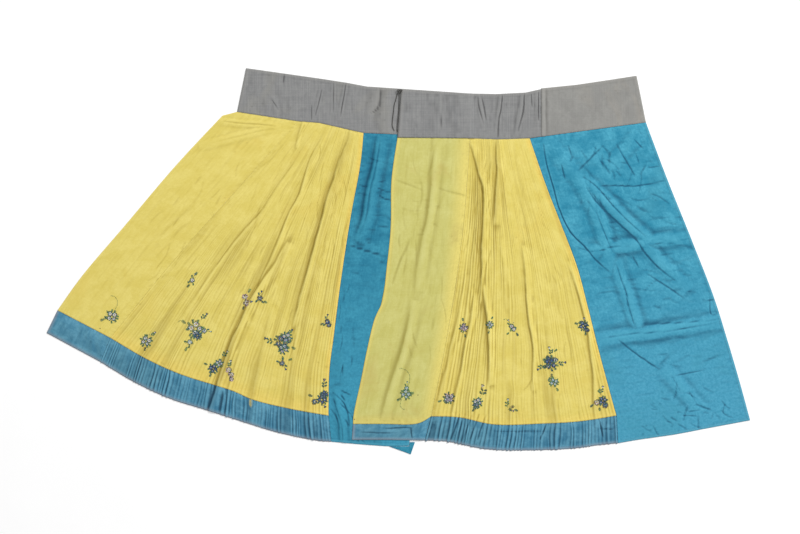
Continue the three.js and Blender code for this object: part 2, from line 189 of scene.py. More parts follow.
# %% Edges of the cut
# What the edges of a panel pass between its two lines.
EDGES = {
    "front_a": dict(waist=[(-427, 396)], band=[], hem=[]),
    "pleats_a": dict(
        waist=[(-210, 367), (-150, 353)],
        band=[(-669, -258), (-573, -301), (-446, -341), (-382, -368), (-287, -391)],
        hem=[(-700, -320), (-605, -364), (-510, -394), (-414, -425), (-319, -454), (-223, -474)],
    ),
    "blue_a": dict(waist=[], hem=[(-100, -485), (-25, -490)]),
    "front_b": dict(waist=[], band=[(-39, -431), (45, -431)], hem=[(-29, -473), (34, -474)]),
    "pleats_b": dict(
        waist=[(263, 323)],
        band=[(163, -414), (259, -433), (386, -430), (482, -424)],
        hem=[(132, -478), (227, -497), (322, -501), (450, -497), (530, -487)],
    ),
    "blue_b": dict(waist=[], hem=[(640, -472), (736, -458), (831, -440)]),
}
print("edges between the lines:", ", ".join(EDGES))

# %% Curves through places
CURVE_STEPS, CHAIN_STEPS = 60, 96


def smooth_chain(places, steps=CHAIN_STEPS):
    """Equal steps along the smooth curve through a few places."""
    points = np.array([places[0], *places, places[-1]], float)
    t = np.linspace(0, 1, CURVE_STEPS, endpoint=False)[:, None]
    runs = []
    for p0, p1, p2, p3 in zip(points, points[1:], points[2:], points[3:]):
        start, end = (p2 - p0) / 2, (p3 - p1) / 2
        cubic = (2 * p1 - 2 * p2 + start + end) * t**3 + (-3 * p1 + 3 * p2 - 2 * start - end) * t**2
        runs.append(cubic + start * t + p1)
    fine = np.vstack([*runs, points[-1:]])
    return at_length(fine, np.linspace(0, 1, steps + 1))


def at_length(chain, shares):
    """The places at some shares of a chain's length."""
    steps = np.linalg.norm(np.diff(chain, axis=0), axis=1)
    run = np.concatenate([[0], np.cumsum(steps)])
    wanted = np.asarray(shares) * run[-1]
    return np.stack([np.interp(wanted, run, chain[:, axis]) for axis in range(chain.shape[1])], axis=-1)


def cloth_line(name):
    row = LINES[name]
    return smooth_chain([row["waist"], *row["passes"], row["band"]])


def hem_line(name):
    return np.array([LINES[name]["band"], LINES[name]["edge"]], float)


def whole_line(name):
    row = LINES[name]
    if row["band"] is None:
        return smooth_chain([row["waist"], *row["passes"], row["edge"]])
    return np.vstack([cloth_line(name), hem_line(name)[1:]])


def edge_between(start, places, end, smooth=True):
    chain = [tuple(start), *places, tuple(end)]
    return smooth_chain(chain) if smooth and places else np.array(chain, float)


print("the left line starts at", cloth_line("left")[0], "and ends at", hem_line("left")[1])

# %% [markdown]
# A panel is filled in from its four edges. This is a Coons patch: each point is blended from the point
# across, the point down and the four corners. `u` runs across the cloth and `v` down it, so a row of
# constant `u` is a thread of the warp.

# %% Plan of a panel
def panel_plan(left, right, top, bottom, u, v):
    """Places in plan on a grid of shares, as an array of columns, rows and x, y."""
    u, v = u[:, None, None], v[None, :, None]
    across_top = at_length(top, u[:, 0, 0])[:, None, :]
    across_bottom = at_length(bottom, u[:, 0, 0])[:, None, :]
    down_left = at_length(left, v[0, :, 0])[None, :, :]
    down_right = at_length(right, v[0, :, 0])[None, :, :]
    corner_top = top[0] * (1 - u) + top[-1] * u
    corner_bottom = bottom[0] * (1 - u) + bottom[-1] * u
    across = across_top * (1 - v) + across_bottom * v
    down = down_left * (1 - u) + down_right * u
    return across + down - (corner_top * (1 - v) + corner_bottom * v)


def plan_area(plan):
    """Flat area of a plan, in square metres."""
    a, b = plan[1:, 1:] - plan[:-1, :-1], plan[1:, :-1] - plan[:-1, 1:]
    return float(np.abs(a[..., 0] * b[..., 1] - a[..., 1] * b[..., 0]).sum() / 2) * MM * MM


left, right = np.array([(0, 0), (0, 9)], float), np.array([(9, 0), (9, 9)], float)
shares = np.linspace(0, 1, 3)
square = panel_plan(left, right, np.array([left[0], right[0]]), np.array([left[1], right[1]]), shares, shares)
print("area of a plan 9 mm square:", plan_area(square), "square metres")

# %% [markdown]
# ## Folds and creases
#
# Silk that has lain folded keeps its lines. A fold has the route of its crest, its half width, and its
# height. A height below zero is a trough. The big folds are those of the solids, the others are the sharper
# lines that the photo shows, and small creases are strewn between them with fixed seeds. Lean makes one
# side steeper than the other, as where a pleat has been pressed to one side.

# %% Folds of the cloth
Fold = namedtuple("Fold", "route half height lean")
BOW_STEPS, CREASE_STEPS, LEDGE_STEPS = 12, 16, 24
# Small creases differ in length and depth, as shares of the usual, and in bow, half width and lean.
SMALL = dict(length=(0.4, 1.3), depth=(0.4, 1), bow=(-0.12, 0.12), half=(3, 6), lean=(-0.4, 0.4))


def bowed(start, end, bow=0):
    """The route of a fold between two places, swung to its right by bow on the way."""
    start, end = np.array(start, float), np.array(end, float)
    along = end - start
    side = np.array([along[1], -along[0]]) / np.linalg.norm(along)
    t = np.linspace(0, 1, BOW_STEPS + 1)[:, None]
    return start + along * t + side * bow * 4 * t * (1 - t)


def ridge(start, end, half, height, bow=0, lean=0):
    return Fold(bowed(start, end, bow), half, height, lean)


def crease(route, half, height, lean=0):
    return Fold(smooth_chain(route, CREASE_STEPS) if len(route) > 2 else bowed(*route), half, height, lean)


def ledge(route, half, height, lean=-0.68):
    """A fold that has been pressed over: steep on the left of its way down, and slow on the right."""
    return Fold(smooth_chain(route, LEDGE_STEPS), half, height, lean)


def strewn(middle, spread, count, heading, sway, length, depth, seed):
    """Small creases over an area. Each is a short bent line that keeps close to one heading, in degrees."""
    rng = np.random.default_rng(seed)
    folds = []
    for _ in range(count):
        start = np.array(middle) + np.array(spread) * rng.uniform(-1, 1, 2)
        angle = math.radians(heading + sway * rng.uniform(-1, 1))
        run = length * rng.uniform(*SMALL["length"])
        end = start + run * np.array([math.cos(angle), math.sin(angle)])
        folds.append(Fold(bowed(start, end, run * rng.uniform(*SMALL["bow"])), rng.uniform(*SMALL["half"]),
                          -depth * rng.uniform(*SMALL["depth"]), rng.uniform(*SMALL["lean"])))
    return folds


print("kinds of fold: ridge, crease, ledge, strewn")

# %% Height of the folds
def near_route(fold, plan, reach):
    """The places within reach of a fold: which they are, how far off, on which side, how far along."""
    low, high = fold.route.min(axis=0) - reach, fold.route.max(axis=0) + reach
    near = np.all((plan > low) & (plan < high), axis=2)
    at = plan[near]
    best, side, along = np.full(len(at), np.inf), np.zeros(len(at)), np.zeros(len(at))
    steps = len(fold.route) - 1
    for step in range(steps):
        start, run = fold.route[step], fold.route[step + 1] - fold.route[step]
        share = np.clip(((at - start) @ run) / (run @ run), 0, 1)
        away = at - start - share[:, None] * run
        distance = np.hypot(away[:, 0], away[:, 1])
        closer = distance < best
        best[closer] = distance[closer]
        side[closer] = np.sign(run[0] * away[closer, 1] - run[1] * away[closer, 0])
        along[closer] = (step + share[closer]) / steps
    return near, best, side, np.clip(along, 0, 1)


def fold_height(fold, plan):
    """How far one fold lifts each place of a plan, or lowers it."""
    lifted = np.zeros(plan.shape[:2])
    near, distance, side, along = near_route(fold, plan, fold.half)
    reach = fold.half * np.where(side * fold.lean > 0, 1 - abs(fold.lean), 1.0)
    slope = np.clip(1 - (distance / reach) ** 2, 0, 1) ** 2
    lifted[near] = fold.height * slope * np.sqrt(np.sin(np.pi * along))
    return lifted


def folds_height(ridges, creases, plan):
    """The highest of the big folds, with the creases added to it."""
    lifted = np.zeros(plan.shape[:2])
    for fold in ridges:
        lifted = np.maximum(lifted, fold_height(fold, plan))
    for fold in creases:
        lifted += fold_height(fold, plan)
    return lifted


print("one ridge lifts its middle by", fold_height(ridge((-9, 0), (9, 0), 9, 1.5), np.zeros((1, 1, 2)))[0, 0])

# %% [markdown]
# Shade is painted into the colour where cloth is folded. Three kinds of mark paint it: a thin dark line along
# a deep crease, a soft band at the foot of a pressed fold, and a broad band where the cloth lies in a hollow.

# %% Painted shade along the folds
LINE_HALF = 1.7
NO_LINE, FULL_LINE = 0.3, 1.3
SHADE_HALF, SHADE_REACH, SHADE_STRENGTH, SHADE_MOST = 7, 22, 0.15, 0.75
LEAST_LEAN = -0.3
# How a mark comes and goes: its mean strength and swing, the size and seed of the noise, and its limits.
LINE_FADE = (0.78, 0.45, (14, 22), 90, (0.3, 1))
SHADE_BAND_FADE = (0.85, 0.35, (9, 60), 95, (0.4, 1.1))


def bell(distance, half):
    return np.exp(-((distance / half) ** 2))


def fading(plan, mean, swing, cell, seed, limits):
    return np.clip(mean + swing * soft_noise(plan[..., 0], plan[..., 1], *cell, seed), *limits)


def painted_shade_along(folds, plan, reach, strength):
    """The strongest mark that any of the folds leaves at each place."""
    mark = np.zeros(plan.shape[:2])
    for fold in folds:
        near, distance, side, along = near_route(fold, plan, reach(fold))
        mark[near] = np.maximum(mark[near], strength(fold, distance, side, np.sin(np.pi * along)))
    return mark


def line_marks(creases, plan):
    """Painted shade along the creases, from 0 to 1: a deep crease has a dark line, which comes and goes."""
    def strength(fold, distance, side, swell):
        depth = np.clip((-fold.height - NO_LINE) / (FULL_LINE - NO_LINE), 0, 1)
        return bell(distance, LINE_HALF) * swell**0.3 * depth

    return painted_shade_along(creases, plan, lambda fold: 3 * LINE_HALF, strength) * fading(plan, *LINE_FADE)


def shade_marks(ridges, plan):
    """A soft band of painted shadow at the foot of each ledge, on its steep side, which faces away from the
    light.
    """
    def strength(fold, distance, side, swell):
        foot = fold.half * (1 + fold.lean)
        return SHADE_STRENGTH * fold.height * (bell(distance - foot, SHADE_HALF) * (side < 0) * swell**0.5)

    ledges = [fold for fold in ridges if fold.lean <= LEAST_LEAN]
    return np.clip(painted_shade_along(ledges, plan, lambda fold: SHADE_REACH, strength), 0, SHADE_MOST)


def shade_band_marks(bands, plan):
    """Broad bands of painted shade where the cloth lies in a hollow; a band's depth says how strong it is."""
    def strength(fold, distance, side, swell):
        return -fold.height * (bell(distance, fold.half) * swell**0.5)

    return painted_shade_along(bands, plan, lambda fold: 3 * fold.half, strength) * fading(plan, *SHADE_BAND_FADE)


print("kinds of mark: line, shade, shade band")

# %% Big folds
LONG_A = {
    "first": [(-219, 345), (-293, 234), (-355, 140), (-409, 78), (-471, 1), (-514, -61), (-588, -174)],
    "second": [(-186, 358), (-215, 304), (-242, 245), (-266, 168), (-293, 113), (-335, 12), (-370, -65),
               (-409, -143), (-449, -285), (-470, -341)],
    "third": [(-123, 346), (-141, 296), (-164, 226), (-192, 148), (-211, 70), (-234, -19), (-277, -174)],
    "deep": [(-290, 52), (-335, -18), (-387, -98), (-426, -182), (-463, -281), (-498, -392), (-510, -440)],
}
RIDGES = {
    "a": [
        ledge(LONG_A["first"], 17, 1.9),
        ledge(LONG_A["second"], 16, 2.4),
        ledge(LONG_A["third"], 28, 5.6),
        ledge(LONG_A["deep"], 24, 5.2),
        ridge((-246, 385), (-269, 300), 9, 1.6, lean=-0.4),
        ridge((-480, 372), (-310, 356), 14, 1.2),
        ridge((-530, 305), (-320, 356), 16, 1.0),
        ridge((-310, 300), (-448, 157), 16, 0.9, lean=-0.5),
        ridge((-525, 151), (-640, 50), 20, 0.7, lean=-0.5),
        ridge((-150, 240), (-215, -60), 13, 1.4, lean=-0.5),
        ridge((-105, 150), (-170, -330), 15, 1.3, lean=-0.5),
        ridge((-330, -120), (-385, -350), 16, 1.1, lean=-0.5),
        ridge((-250, -60), (-290, -360), 15, 1.2, lean=-0.5),
    ],
    "b": [
        ledge([(104, 330), (92, 208), (82, 112), (66, 20), (52, -80)], 24, 1.7, lean=-0.5),
        ledge([(43, -103), (20, -218), (-20, -347), (-36, -420)], 24, 2, lean=-0.5),
        ridge((155, -210), (90, -430), 20, 2, lean=-0.5),
        ledge([(263, 330), (260, 272), (263, 221), (256, 95)], 20, 4.2),
        ledge([(193, 320), (212, 240), (230, 192), (228, 112), (222, 3), (219, -110)], 22, 5.2),
        ledge([(222, -30), (237, -156), (244, -330)], 20, 4.8),
        ledge([(205, -80), (191, -156), (169, -280), (144, -400)], 14, 2.8),
        ledge([(180, -35), (150, -190), (98, -440)], 14, 2.4),
        ledge([(330, 40), (339, -50), (346, -149), (357, -227), (357, -345)], 17, 3.2),
        ledge([(448, 0), (467, -50), (503, -185), (517, -305), (526, -440)], 16, 2.6),
        ridge((240, 330), (246, 170), 7, 1.6, lean=-0.4),
        ridge((212, 150), (196, -60), 8, 1.8, lean=-0.4),
        ridge((275, 60), (290, -130), 12, 1.2, lean=-0.4),
        ridge((395, -120), (424, -350), 16, 1.0, lean=-0.4),
    ],
    "blue_a": [
        ledge([(-44, 330), (-59, 257), (-75, 176), (-85, 112), (-106, 50)], 30, 3.8, lean=-0.5),
        ledge([(-166, -330), (-152, -433), (-148, -500)], 20, 2, lean=-0.5),
    ],
    "blue_b": [
        ridge((385, 325), (565, -40), 30, 2.4, bow=-42),
        ridge((470, 235), (690, 30), 28, 3),
        ridge((620, 80), (770, -80), 26, 1.8),
        ridge((500, 22), (790, 62), 26, 1.8, bow=-8),
        ridge((510, -212), (870, -155), 28, 2),
        ridge((572, 10), (650, -215), 26, 1.8),
        ridge((640, 340), (560, 250), 26, 1.6),
        ridge((700, -280), (810, -400), 28, 1.6),
    ],
    "waist_a": [
        ridge((-337, 448), (-314, 385), 10, 0.5),
        ridge((-198, 475), (-224, 375), 9, 0.6),
        ridge((-171, 480), (-171, 385), 9, 0.7),
        ridge((-137, 478), (-154, 372), 9, 0.8),
        ridge((-42, 468), (-80, 378), 9, 0.8),
    ],
    "waist_b": [
        ridge((116, 458), (112, 345), 9, 1.1),
        ridge((210, 450), (228, 345), 9, 0.8),
        ridge((275, 455), (264, 350), 9, 1.1),
        ridge((334, 458), (315, 330), 10, 1.2),
        ridge((367, 470), (369, 330), 8, 1),
        ridge((384, 475), (384, 315), 9, 1.6),
    ],
}
print("big folds:", {group: len(folds) for group, folds in RIDGES.items()})

# %% Creases
def foot_of(start, name, last, shift):
    """The route at the foot of a long fold: its own start, then the fold's places moved aside."""
    return [start, *((x - shift, y) for x, y in LONG_A[name][1:last])]


CREASES = {
    "a": [
        crease(foot_of((-223, 335), "first", 7, 4), 4, -0.5),
        crease(foot_of((-190, 351), "second", 6, 4), 4, -0.6),
        crease(foot_of((-129, 343), "third", 7, 6), 4, -1.1),
        crease(foot_of((-303, 25), "deep", 6, 6), 4, -1.3),
        crease([(-464, 372), (-393, 363), (-324, 358)], 5, -0.7),
        crease([(-495, 315), (-406, 335), (-328, 351)], 6, -0.5),
        crease([(-310, 300), (-324, 282), (-370, 244), (-408, 199), (-448, 157)], 5, -0.4),
        crease([(-525, 151), (-560, 120), (-600, 90)], 5, -0.3),
        crease([(-246, 364), (-269, 315)], 4, -0.8),
        *strewn((-560, 40), (120, 190), 26, 232, 14, 60, 0.35, 31),
        *strewn((-300, 40), (120, 280), 46, 248, 10, 70, 0.4, 32),
        *strewn((-170, 150), (40, 180), 22, 262, 10, 60, 0.5, 33),
    ],
    "b": [
        crease([(98, 311), (86, 208), (76, 112), (62, 70)], 6, -0.6),
        crease([(31, 62), (-1, -16), (-17, -63)], 8, -0.6),
        crease([(-8, 215), (63, 189)], 5, -0.35),
        crease([(105, 196), (198, 166)], 5, -0.35),
        crease([(37, -103), (14, -218), (-26, -347), (-38, -390)], 6, -0.6),
        crease([(152, -218), (120, -300), (95, -378)], 7, -0.6),
        crease([(259, 323), (256, 272), (259, 221), (253, 112)], 4, -0.8),
        crease([(191, 304), (208, 240), (224, 192), (224, 112), (218, 3), (217, -103)], 4, -1.3),
        crease([(218, -50), (232, -156), (239, -298)], 4, -0.9),
        crease([(335, -50), (342, -149), (353, -227), (353, -312), (329, -344)], 4, -0.9),
        crease([(187, -156), (165, -280), (144, -386)], 4, -0.7),
        crease([(463, -50), (499, -185), (513, -305), (516, -405)], 4, -0.7),
        crease([(-35, -441), (36, -443)], 3, -0.8),
        crease([(-100, -452), (-10, -453)], 3, -0.6),
        crease([(33, -441), (36, -470)], 3, -0.8),
        crease([(251, -451), (394, -450)], 3, -0.5),
        crease([(534, -442), (569, -442)], 3, -0.6),
        crease([(393, -428), (375, -474)], 4, -1.0),
        crease([(532, -415), (543, -466)], 4, -1.0),
        *[crease([(x, -404), (x - 26, -474)], 4, -0.9) for x in (164, 178, 197, 216, 236)],
        *strewn((60, 0), (60, 300), 22, 268, 14, 80, 0.35, 41),
        *strewn((40, 150), (50, 90), 10, 354, 12, 50, 0.3, 42),
        *strewn((215, 100), (34, 220), 40, 262, 12, 70, 0.6, 43),
        *strewn((360, 60), (60, 200), 24, 280, 24, 40, 0.35, 44),
        *strewn((400, 190), (40, 40), 8, 350, 12, 40, 0.5, 45),
        *strewn((420, -200), (110, 200), 34, 275, 12, 60, 0.35, 46),
    ],
    "blue_a": [
        crease([(-46, 321), (-59, 257), (-75, 176), (-85, 112), (-104, 64)], 6.3, -0.94),
        crease([(-104, 202), (-78, 196)], 2.8, -0.68),
        crease([(-107, 179), (-78, 175)], 2.8, -0.68),
        crease([(-59, 196), (-40, 187), (-20, 183)], 2.8, -0.68),
        crease([(-52, 176), (-36, 165), (-20, 163)], 2.8, -0.68),
        crease([(-133, 45), (-85, 28), (-30, 16)], 4.2, -0.85, 0.4),
        crease([(-170, -361), (-152, -433), (-149, -479)], 4.2, -0.77),
        crease([(-155, -341), (-123, -355)], 3.5, -0.59),
        crease([(-155, -373), (-123, -407)], 3.5, -0.59),
        crease([(-175, -345), (-140, -380), (-128, -440)], 3.5, -0.68),
        *strewn((-70, 120), (60, 220), 26, 352, 16, 50, 0.45, 51),
        *strewn((-150, -120), (30, 240), 20, 262, 10, 60, 0.4, 52),
        *strewn((-150, -420), (30, 70), 12, 300, 24, 50, 0.7, 53),
    ],
    "blue_b": [
        crease([(492, 223), (531, 192), (570, 146), (624, 95), (655, 64)], 4.2, -1.02, 0.3),
        crease([(496, 200), (527, 154), (578, 107), (624, 64), (648, 29), (686, -14), (737, -56)],
               4.2, -0.94, 0.3),
        crease([(385, 313), (399, 239), (426, 138), (453, 80), (492, 41), (523, 6), (562, -29)],
               4.2, -1.19, 0.4),
        crease([(521, 142), (542, 84), (570, 21)], 3, -0.77),
        crease([(580, -10), (601, -80), (609, -122), (630, -177)], 3.6, -0.94, 0.4),
        crease([(531, 198), (640, 202), (706, 214)], 3.6, -0.85, 0.4),
        crease([(473, 37), (523, 25), (566, 39), (624, 41)], 3, -0.68),
        crease([(663, 45), (714, 48), (776, 60)], 3, -0.68),
        crease([(476, 239), (504, 266), (542, 306)], 3.6, -0.77),
        crease([(578, 313), (597, 274), (628, 223)], 3.6, -0.68),
        crease([(624, 325), (648, 298)], 3, -0.59),
        crease([(434, 259), (442, 220)], 3, -0.68),
        crease([(659, 251), (694, 253)], 3, -0.51),
        crease([(620, 17), (640, -17)], 3, -0.59),
        crease([(659, -33), (706, -64), (756, -99)], 3.6, -0.68),
        crease([(823, -91), (828, -138), (850, -134)], 3, -0.59),
        crease([(648, -165), (764, -161), (854, -153)], 3.6, -0.77, 0.4),
        crease([(525, -209), (599, -195), (735, -181), (856, -158)], 3.6, -0.85, 0.4),
        crease([(576, -205), (640, -252), (694, -286)], 3.6, -0.77),
        crease([(721, -300), (748, -347)], 3, -0.59),
        crease([(720, -307), (815, -285)], 3, -0.59),
        crease([(768, -340), (796, -381)], 3, -0.51),
        *strewn((560, 220), (110, 90), 34, 290, 50, 50, 0.5, 61),
        *strewn((640, 40), (120, 160), 34, 350, 20, 60, 0.4, 62),
        *strewn((740, -180), (110, 100), 26, 10, 30, 50, 0.4, 63),
        *strewn((760, -380), (120, 60), 34, 310, 60, 40, 0.5, 64),
    ],
    "waist_a": [
        crease([(-171, 475), (-171, 393)], 2.6, -0.8),
        crease([(-139, 472), (-145, 425), (-152, 382)], 2.6, -1.0),
        crease([(-44, 459), (-51, 414), (-78, 389)], 2.8, -1.1),
        crease([(-200, 459), (-221, 385)], 2.4, -0.8),
        crease([(-229, 417), (-230, 374)], 2.4, -0.6),
        crease([(-337, 430), (-316, 398)], 2.4, -0.9),
        crease([(-300, 500), (-306, 470)], 2.4, -0.6),
        *strewn((-250, 440), (140, 40), 12, 268, 20, 24, 0.2, 71),
    ],
    "waist_b": [
        crease([(117, 446), (114, 400), (112, 344)], 3, -1.5),
        crease([(211, 438), (214, 406), (226, 360)], 2.8, -0.9),
        crease([(222, 430), (232, 372)], 2.6, -0.7),
        crease([(276, 443), (272, 399), (266, 374), (263, 325)], 2.8, -1.4),
        crease([(334, 447), (330, 400), (318, 346)], 3.2, -1.6),
        crease([(352, 446), (354, 410)], 2.4, -0.7),
        crease([(371, 451), (371, 374)], 2.6, -1.2),
        *strewn((190, 420), (180, 40), 14, 268, 16, 30, 0.2, 72),
    ],
}
print("creases:", {group: len(folds) for group, folds in CREASES.items()})

# %% Bands of painted shade
SHADE_BANDS = {
    "a": [
        crease([(-425, -170), (-460, -281), (-490, -350), (-512, -430)], 8, -1.0),
        crease([(-124, 346), (-156, 246), (-180, 150)], 11, -0.5),
    ],
    "b": [
        crease([(200, 290), (208, 190), (212, 80), (210, -80)], 15, -0.75),
        crease([(258, 260), (259, 180), (250, 90)], 10, -0.95),
        crease([(206, -60), (226, -156), (236, -260)], 9, -0.6),
    ],
}
print("bands of painted shade:", {group: len(bands) for group, bands in SHADE_BANDS.items()})

# %% [markdown]
# ## Pleats and wrinkles
#
# The pleated panels are pressed into narrow knife pleats: one side of a pleat is steep and the other
# falls slowly. Handwork and wear make them uneven, so they differ in width and height, come and go on
# their way down, and stray a little. A table says where they still show clearly. Seeded noise gives the
# rest, the same in every run. It reads how far down the cloth a point lies, so a pleat runs on into the
# hem band.

# %% Tables of the pleats
PLEATS = {"a": 70, "b": 54}
PLEAT_PROFILE = [(0, 0), (0.1, 0.32), (0.22, 0.84), (0.34, 1), (0.52, 0.78), (0.7, 0.46), (0.86, 0.16)]
PLEAT_RISE = 1.1
HEM_RISE = 1.7
HEM_TOOTH = 1.6
# How clearly the pleats show. Rows run down the cloth, and columns run across it from left to right.
PRESSED = {
    "a": [
        (0.10, 0.12, 0.30, 0.45, 0.45),
        (0.10, 0.20, 0.50, 0.60, 0.85),
        (0.30, 0.55, 0.65, 0.55, 1.05),
        (0.70, 0.80, 0.70, 0.60, 0.95),
    ],
    "b": [
        (0.80, 1.10, 0.60, 0.15, 0.20),
        (1.25, 1.60, 0.45, 0.40, 0.45),
        (1.60, 1.50, 0.50, 0.55, 0.50),
        (1.50, 1.25, 0.55, 0.50, 0.70),
    ],
}
print("pleats:", PLEATS)

# %% Noise
LATTICE = (97, 89)
# Layers of noise. Each has its height, and the width and the length of its bumps.
SHAKE = ((2.4, 55, 70), (0.5, 12, 15))
WANDER = ((1, 3.1, 120), (0.55, 1.7, 38))
STREAKS = ((1, 1.1, 150), (0.7, 3.3, 240))
BAND_BUMPS = ((0.35, 34, 60), (0.12, 9, 14))


def soft_noise(x, y, cell_x, cell_y, seed):
    """Smooth bumps between -1 and 1, about as wide and long as the two cells."""
    lattice = np.random.default_rng(seed).random(LATTICE) * 2 - 1
    gx, gy = x / cell_x + 13.7, y / cell_y + 7.3
    ix, iy = np.floor(gx).astype(int), np.floor(gy).astype(int)
    fx, fy = gx - ix, gy - iy
    fx, fy = fx * fx * (3 - 2 * fx), fy * fy * (3 - 2 * fy)

    def row(number):
        number = number % LATTICE[1]
        return lattice[ix % LATTICE[0], number] * (1 - fx) + lattice[(ix + 1) % LATTICE[0], number] * fx

    return row(iy) * (1 - fy) + row(iy + 1) * fy


def bumps(x, y, layers, seed, step=1):
    """Layers of noise on top of each other, each with a seed of its own."""
    return sum(height * soft_noise(x, y, wide, long, seed + step * number)
               for number, (height, wide, long) in enumerate(layers))


def crooked(plan, seed):
    """A plan shaken a little, so that what is measured on it isn't drawn with a ruler."""
    x, y = plan[..., 0], plan[..., 1]
    return plan + np.dstack([bumps(x, y, SHAKE, seed + axis, step=2) for axis in (0, 1)])


print("a value of noise:", round(float(soft_noise(np.array(5.0), np.array(5.0), 10, 10, 1)), 3))

# %% Pleats
MOST_STRAY = 0.42
WIDTHS_DIFFER = 0.4
# A pleat comes and goes on its way down: its mean and swing, the length of a swing, and its limits.
PLEAT_MEAN, PLEAT_SWING, SWING_LENGTH, PLEAT_LIMITS = 0.6, 0.85, 75, (0.06, 1.3)
# Darker streaks along the pleats: where they start in the noise, their least, what a well pressed pleat adds,
# their most.
STREAK_START, STREAK_LEAST, STREAK_GAIN, STREAK_MOST = 0.1, 0.2, 0.35, 0.5


def pleat_shares(count, seed):
    """Columns of a pleated panel, seven to a pleat, and each column's height in its pleat."""
    widths = 1 + WIDTHS_DIFFER * (2 * np.random.default_rng(seed + 50).random(count) - 1)
    starts = np.concatenate([[0], np.cumsum(widths)]) / widths.sum()
    shares = [start + at * (end - start) for start, end in zip(starts, starts[1:]) for at, _ in PLEAT_PROFILE]
    heights = [height for _ in range(count) for _, height in PLEAT_PROFILE]
    return np.array([*shares, 1.0]), np.array([*heights, 0.0])


def pleat_wander(u, down, count, seed):
    """How far the pleats' lines stray sideways, as a share of the panel."""
    u, down = np.meshgrid(u, down, indexing="ij")
    return MOST_STRAY / count * bumps(u * count, down, WANDER, seed) * np.sin(np.pi * u) ** 0.25


def pressed_here(table, u, share_down):
    """How clearly the pleats show, by column and row, read from one of the tables."""
    rows, columns = len(table), len(table[0])
    across = np.array([np.interp(u, np.linspace(0, 1, columns), row) for row in table])
    at = np.clip(share_down, 0, 1) * (rows - 1)
    low = np.minimum(at.astype(int), rows - 2)
    part = (at - low)[:, None]
    return (across[low] * (1 - part) + across[low + 1] * part).T


def pleat_relief(heights, pressed, down, count, seed, uneven):
    """Height of the pleats over the cloth, by column and row."""
    pleat = np.minimum(np.arange(len(heights)) // len(PLEAT_PROFILE), count - 1)
    own = np.random.default_rng(seed).random(count)[pleat][:, None]
    pleat, down = np.meshgrid(pleat.astype(float), down, indexing="ij")
    comes_and_goes = PLEAT_MEAN + PLEAT_SWING * soft_noise(pleat * 7.1, down, 1.0, SWING_LENGTH, seed + 2)
    return heights[:, None] * pressed * (1 - uneven * own) * np.clip(comes_and_goes, *PLEAT_LIMITS)


def pleat_streaks(pressed, u, down, count, seed):
    """Darker streaks along the pleats, from 0 to 1, stronger where they are pressed well."""
    at, down = np.meshgrid(u * count, down, indexing="ij")
    most = np.clip(STREAK_LEAST + STREAK_GAIN * pressed, 0, STREAK_MOST)
    return np.clip(bumps(at, down, STREAKS, seed) - STREAK_START, 0, 1) * most


print("columns of a pleated panel:", [len(pleat_shares(count, 0)[0]) for count in PLEATS.values()])

# %% Sides of a panel
def side_of(plan, side, inner=0):
    """The places along one side of a panel, or along a row or column further in."""
    if side in ("left", "right"):
        return plan[inner if side == "left" else -1 - inner]
    return plan[:, inner if side == "waist" else -1 - inner]


def away_from(plan, side):
    """Distance of each place from one side of its panel."""
    edge = side_of(plan, side)
    return np.linalg.norm(plan - (edge[None] if side in ("left", "right") else edge[:, None]), axis=2)


# Heights in millimetres, and how far they reach from a side.
PUCKER, PUCKER_REACH = 0.22, 9
SEAM_DIP, SOFT_DIP, DIP_REACH = 0.5, 0.08, 1.8
TURNED_RISE, TURNED_IN, TURNED_REACH = 0.3, 4, 2.4
EDGE_DROP, EDGE_REACH = 0.45, 1.4


def seam_relief(plan, sewn, free, soft, seed):
    """A sewn side dips and puckers a little; a free edge is turned in and stands up slightly."""
    relief = np.zeros(plan.shape[:2])
    for number, side in enumerate(sewn):
        away = away_from(plan, side)
        run = plan[..., 0] * 0.3 + plan[..., 1] * 0.95 if side in ("left", "right") else plan[..., 0]
        pucker = PUCKER * soft_noise(run, away, 5.0, 14.0, seed + number)
        dip = SOFT_DIP if side in soft else SEAM_DIP
        relief += pucker * bell(away, PUCKER_REACH) - dip * bell(away, DIP_REACH)
    for side in free:
        away = away_from(plan, side)
        relief += TURNED_RISE * bell(away - TURNED_IN, TURNED_REACH) - EDGE_DROP * bell(away, EDGE_REACH)
    return relief


print("a sewn side dips by", SEAM_DIP, "mm")

# %% [markdown]
# ## A shell of cloth
#
# A panel becomes a closed thin shell: a fine upper skin that carries the folds, a coarse underside that
# nobody sees, and a narrow rim between them. Its UV map is measured along and across the threads in
# metres, so the weave keeps its size on every panel. Four attributes go to the materials: `cavity`, which
# is above zero in a hollow, where the materials paint shade, and below it on a crest, where they paint a
# highlight, `rim`, which fades from 1 on a free edge to 0, `line`, which is 1 where shade is painted along a
# deep crease, at the foot of a fold or in a hollow, and also holds darker streaks along the pleats, and
# `tone`, which says where the dye has another tone.

# %% Parts of a shell
def blurred(values, radius):
    """A moving average along both directions of a grid."""
    size = 2 * radius + 1
    for axis in (0, 1):
        first, last = (np.repeat(np.take(values, [end], axis), radius, axis) for end in (0, -1))
        run = np.cumsum(np.concatenate([first, values, last], axis), axis)
        count = run.shape[axis]
        rest = np.take(run, range(size, count), axis) - np.take(run, range(count - size), axis)
        values = np.concatenate([np.take(run, [size - 1], axis), rest], axis) / size
    return values


def inset_sewn(plan, sewn):
    """Moves sewn sides in by half of the seam's gap."""
    for side in sewn:
        outer = side_of(plan, side)
        run = side_of(plan, side, 1) - outer
        outer += run / np.linalg.norm(run, axis=-1, keepdims=True) * SEAM_GAP / 2


def quads(grid, face_down=False):
    """Four-sided faces between the neighbours of a grid of vertex numbers."""
    a, b, c, d = grid[:-1, :-1], grid[1:, :-1], grid[:-1, 1:], grid[1:, 1:]
    return np.stack([a, b, d, c] if face_down else [a, c, d, b], axis=-1).reshape(-1, 4).tolist()


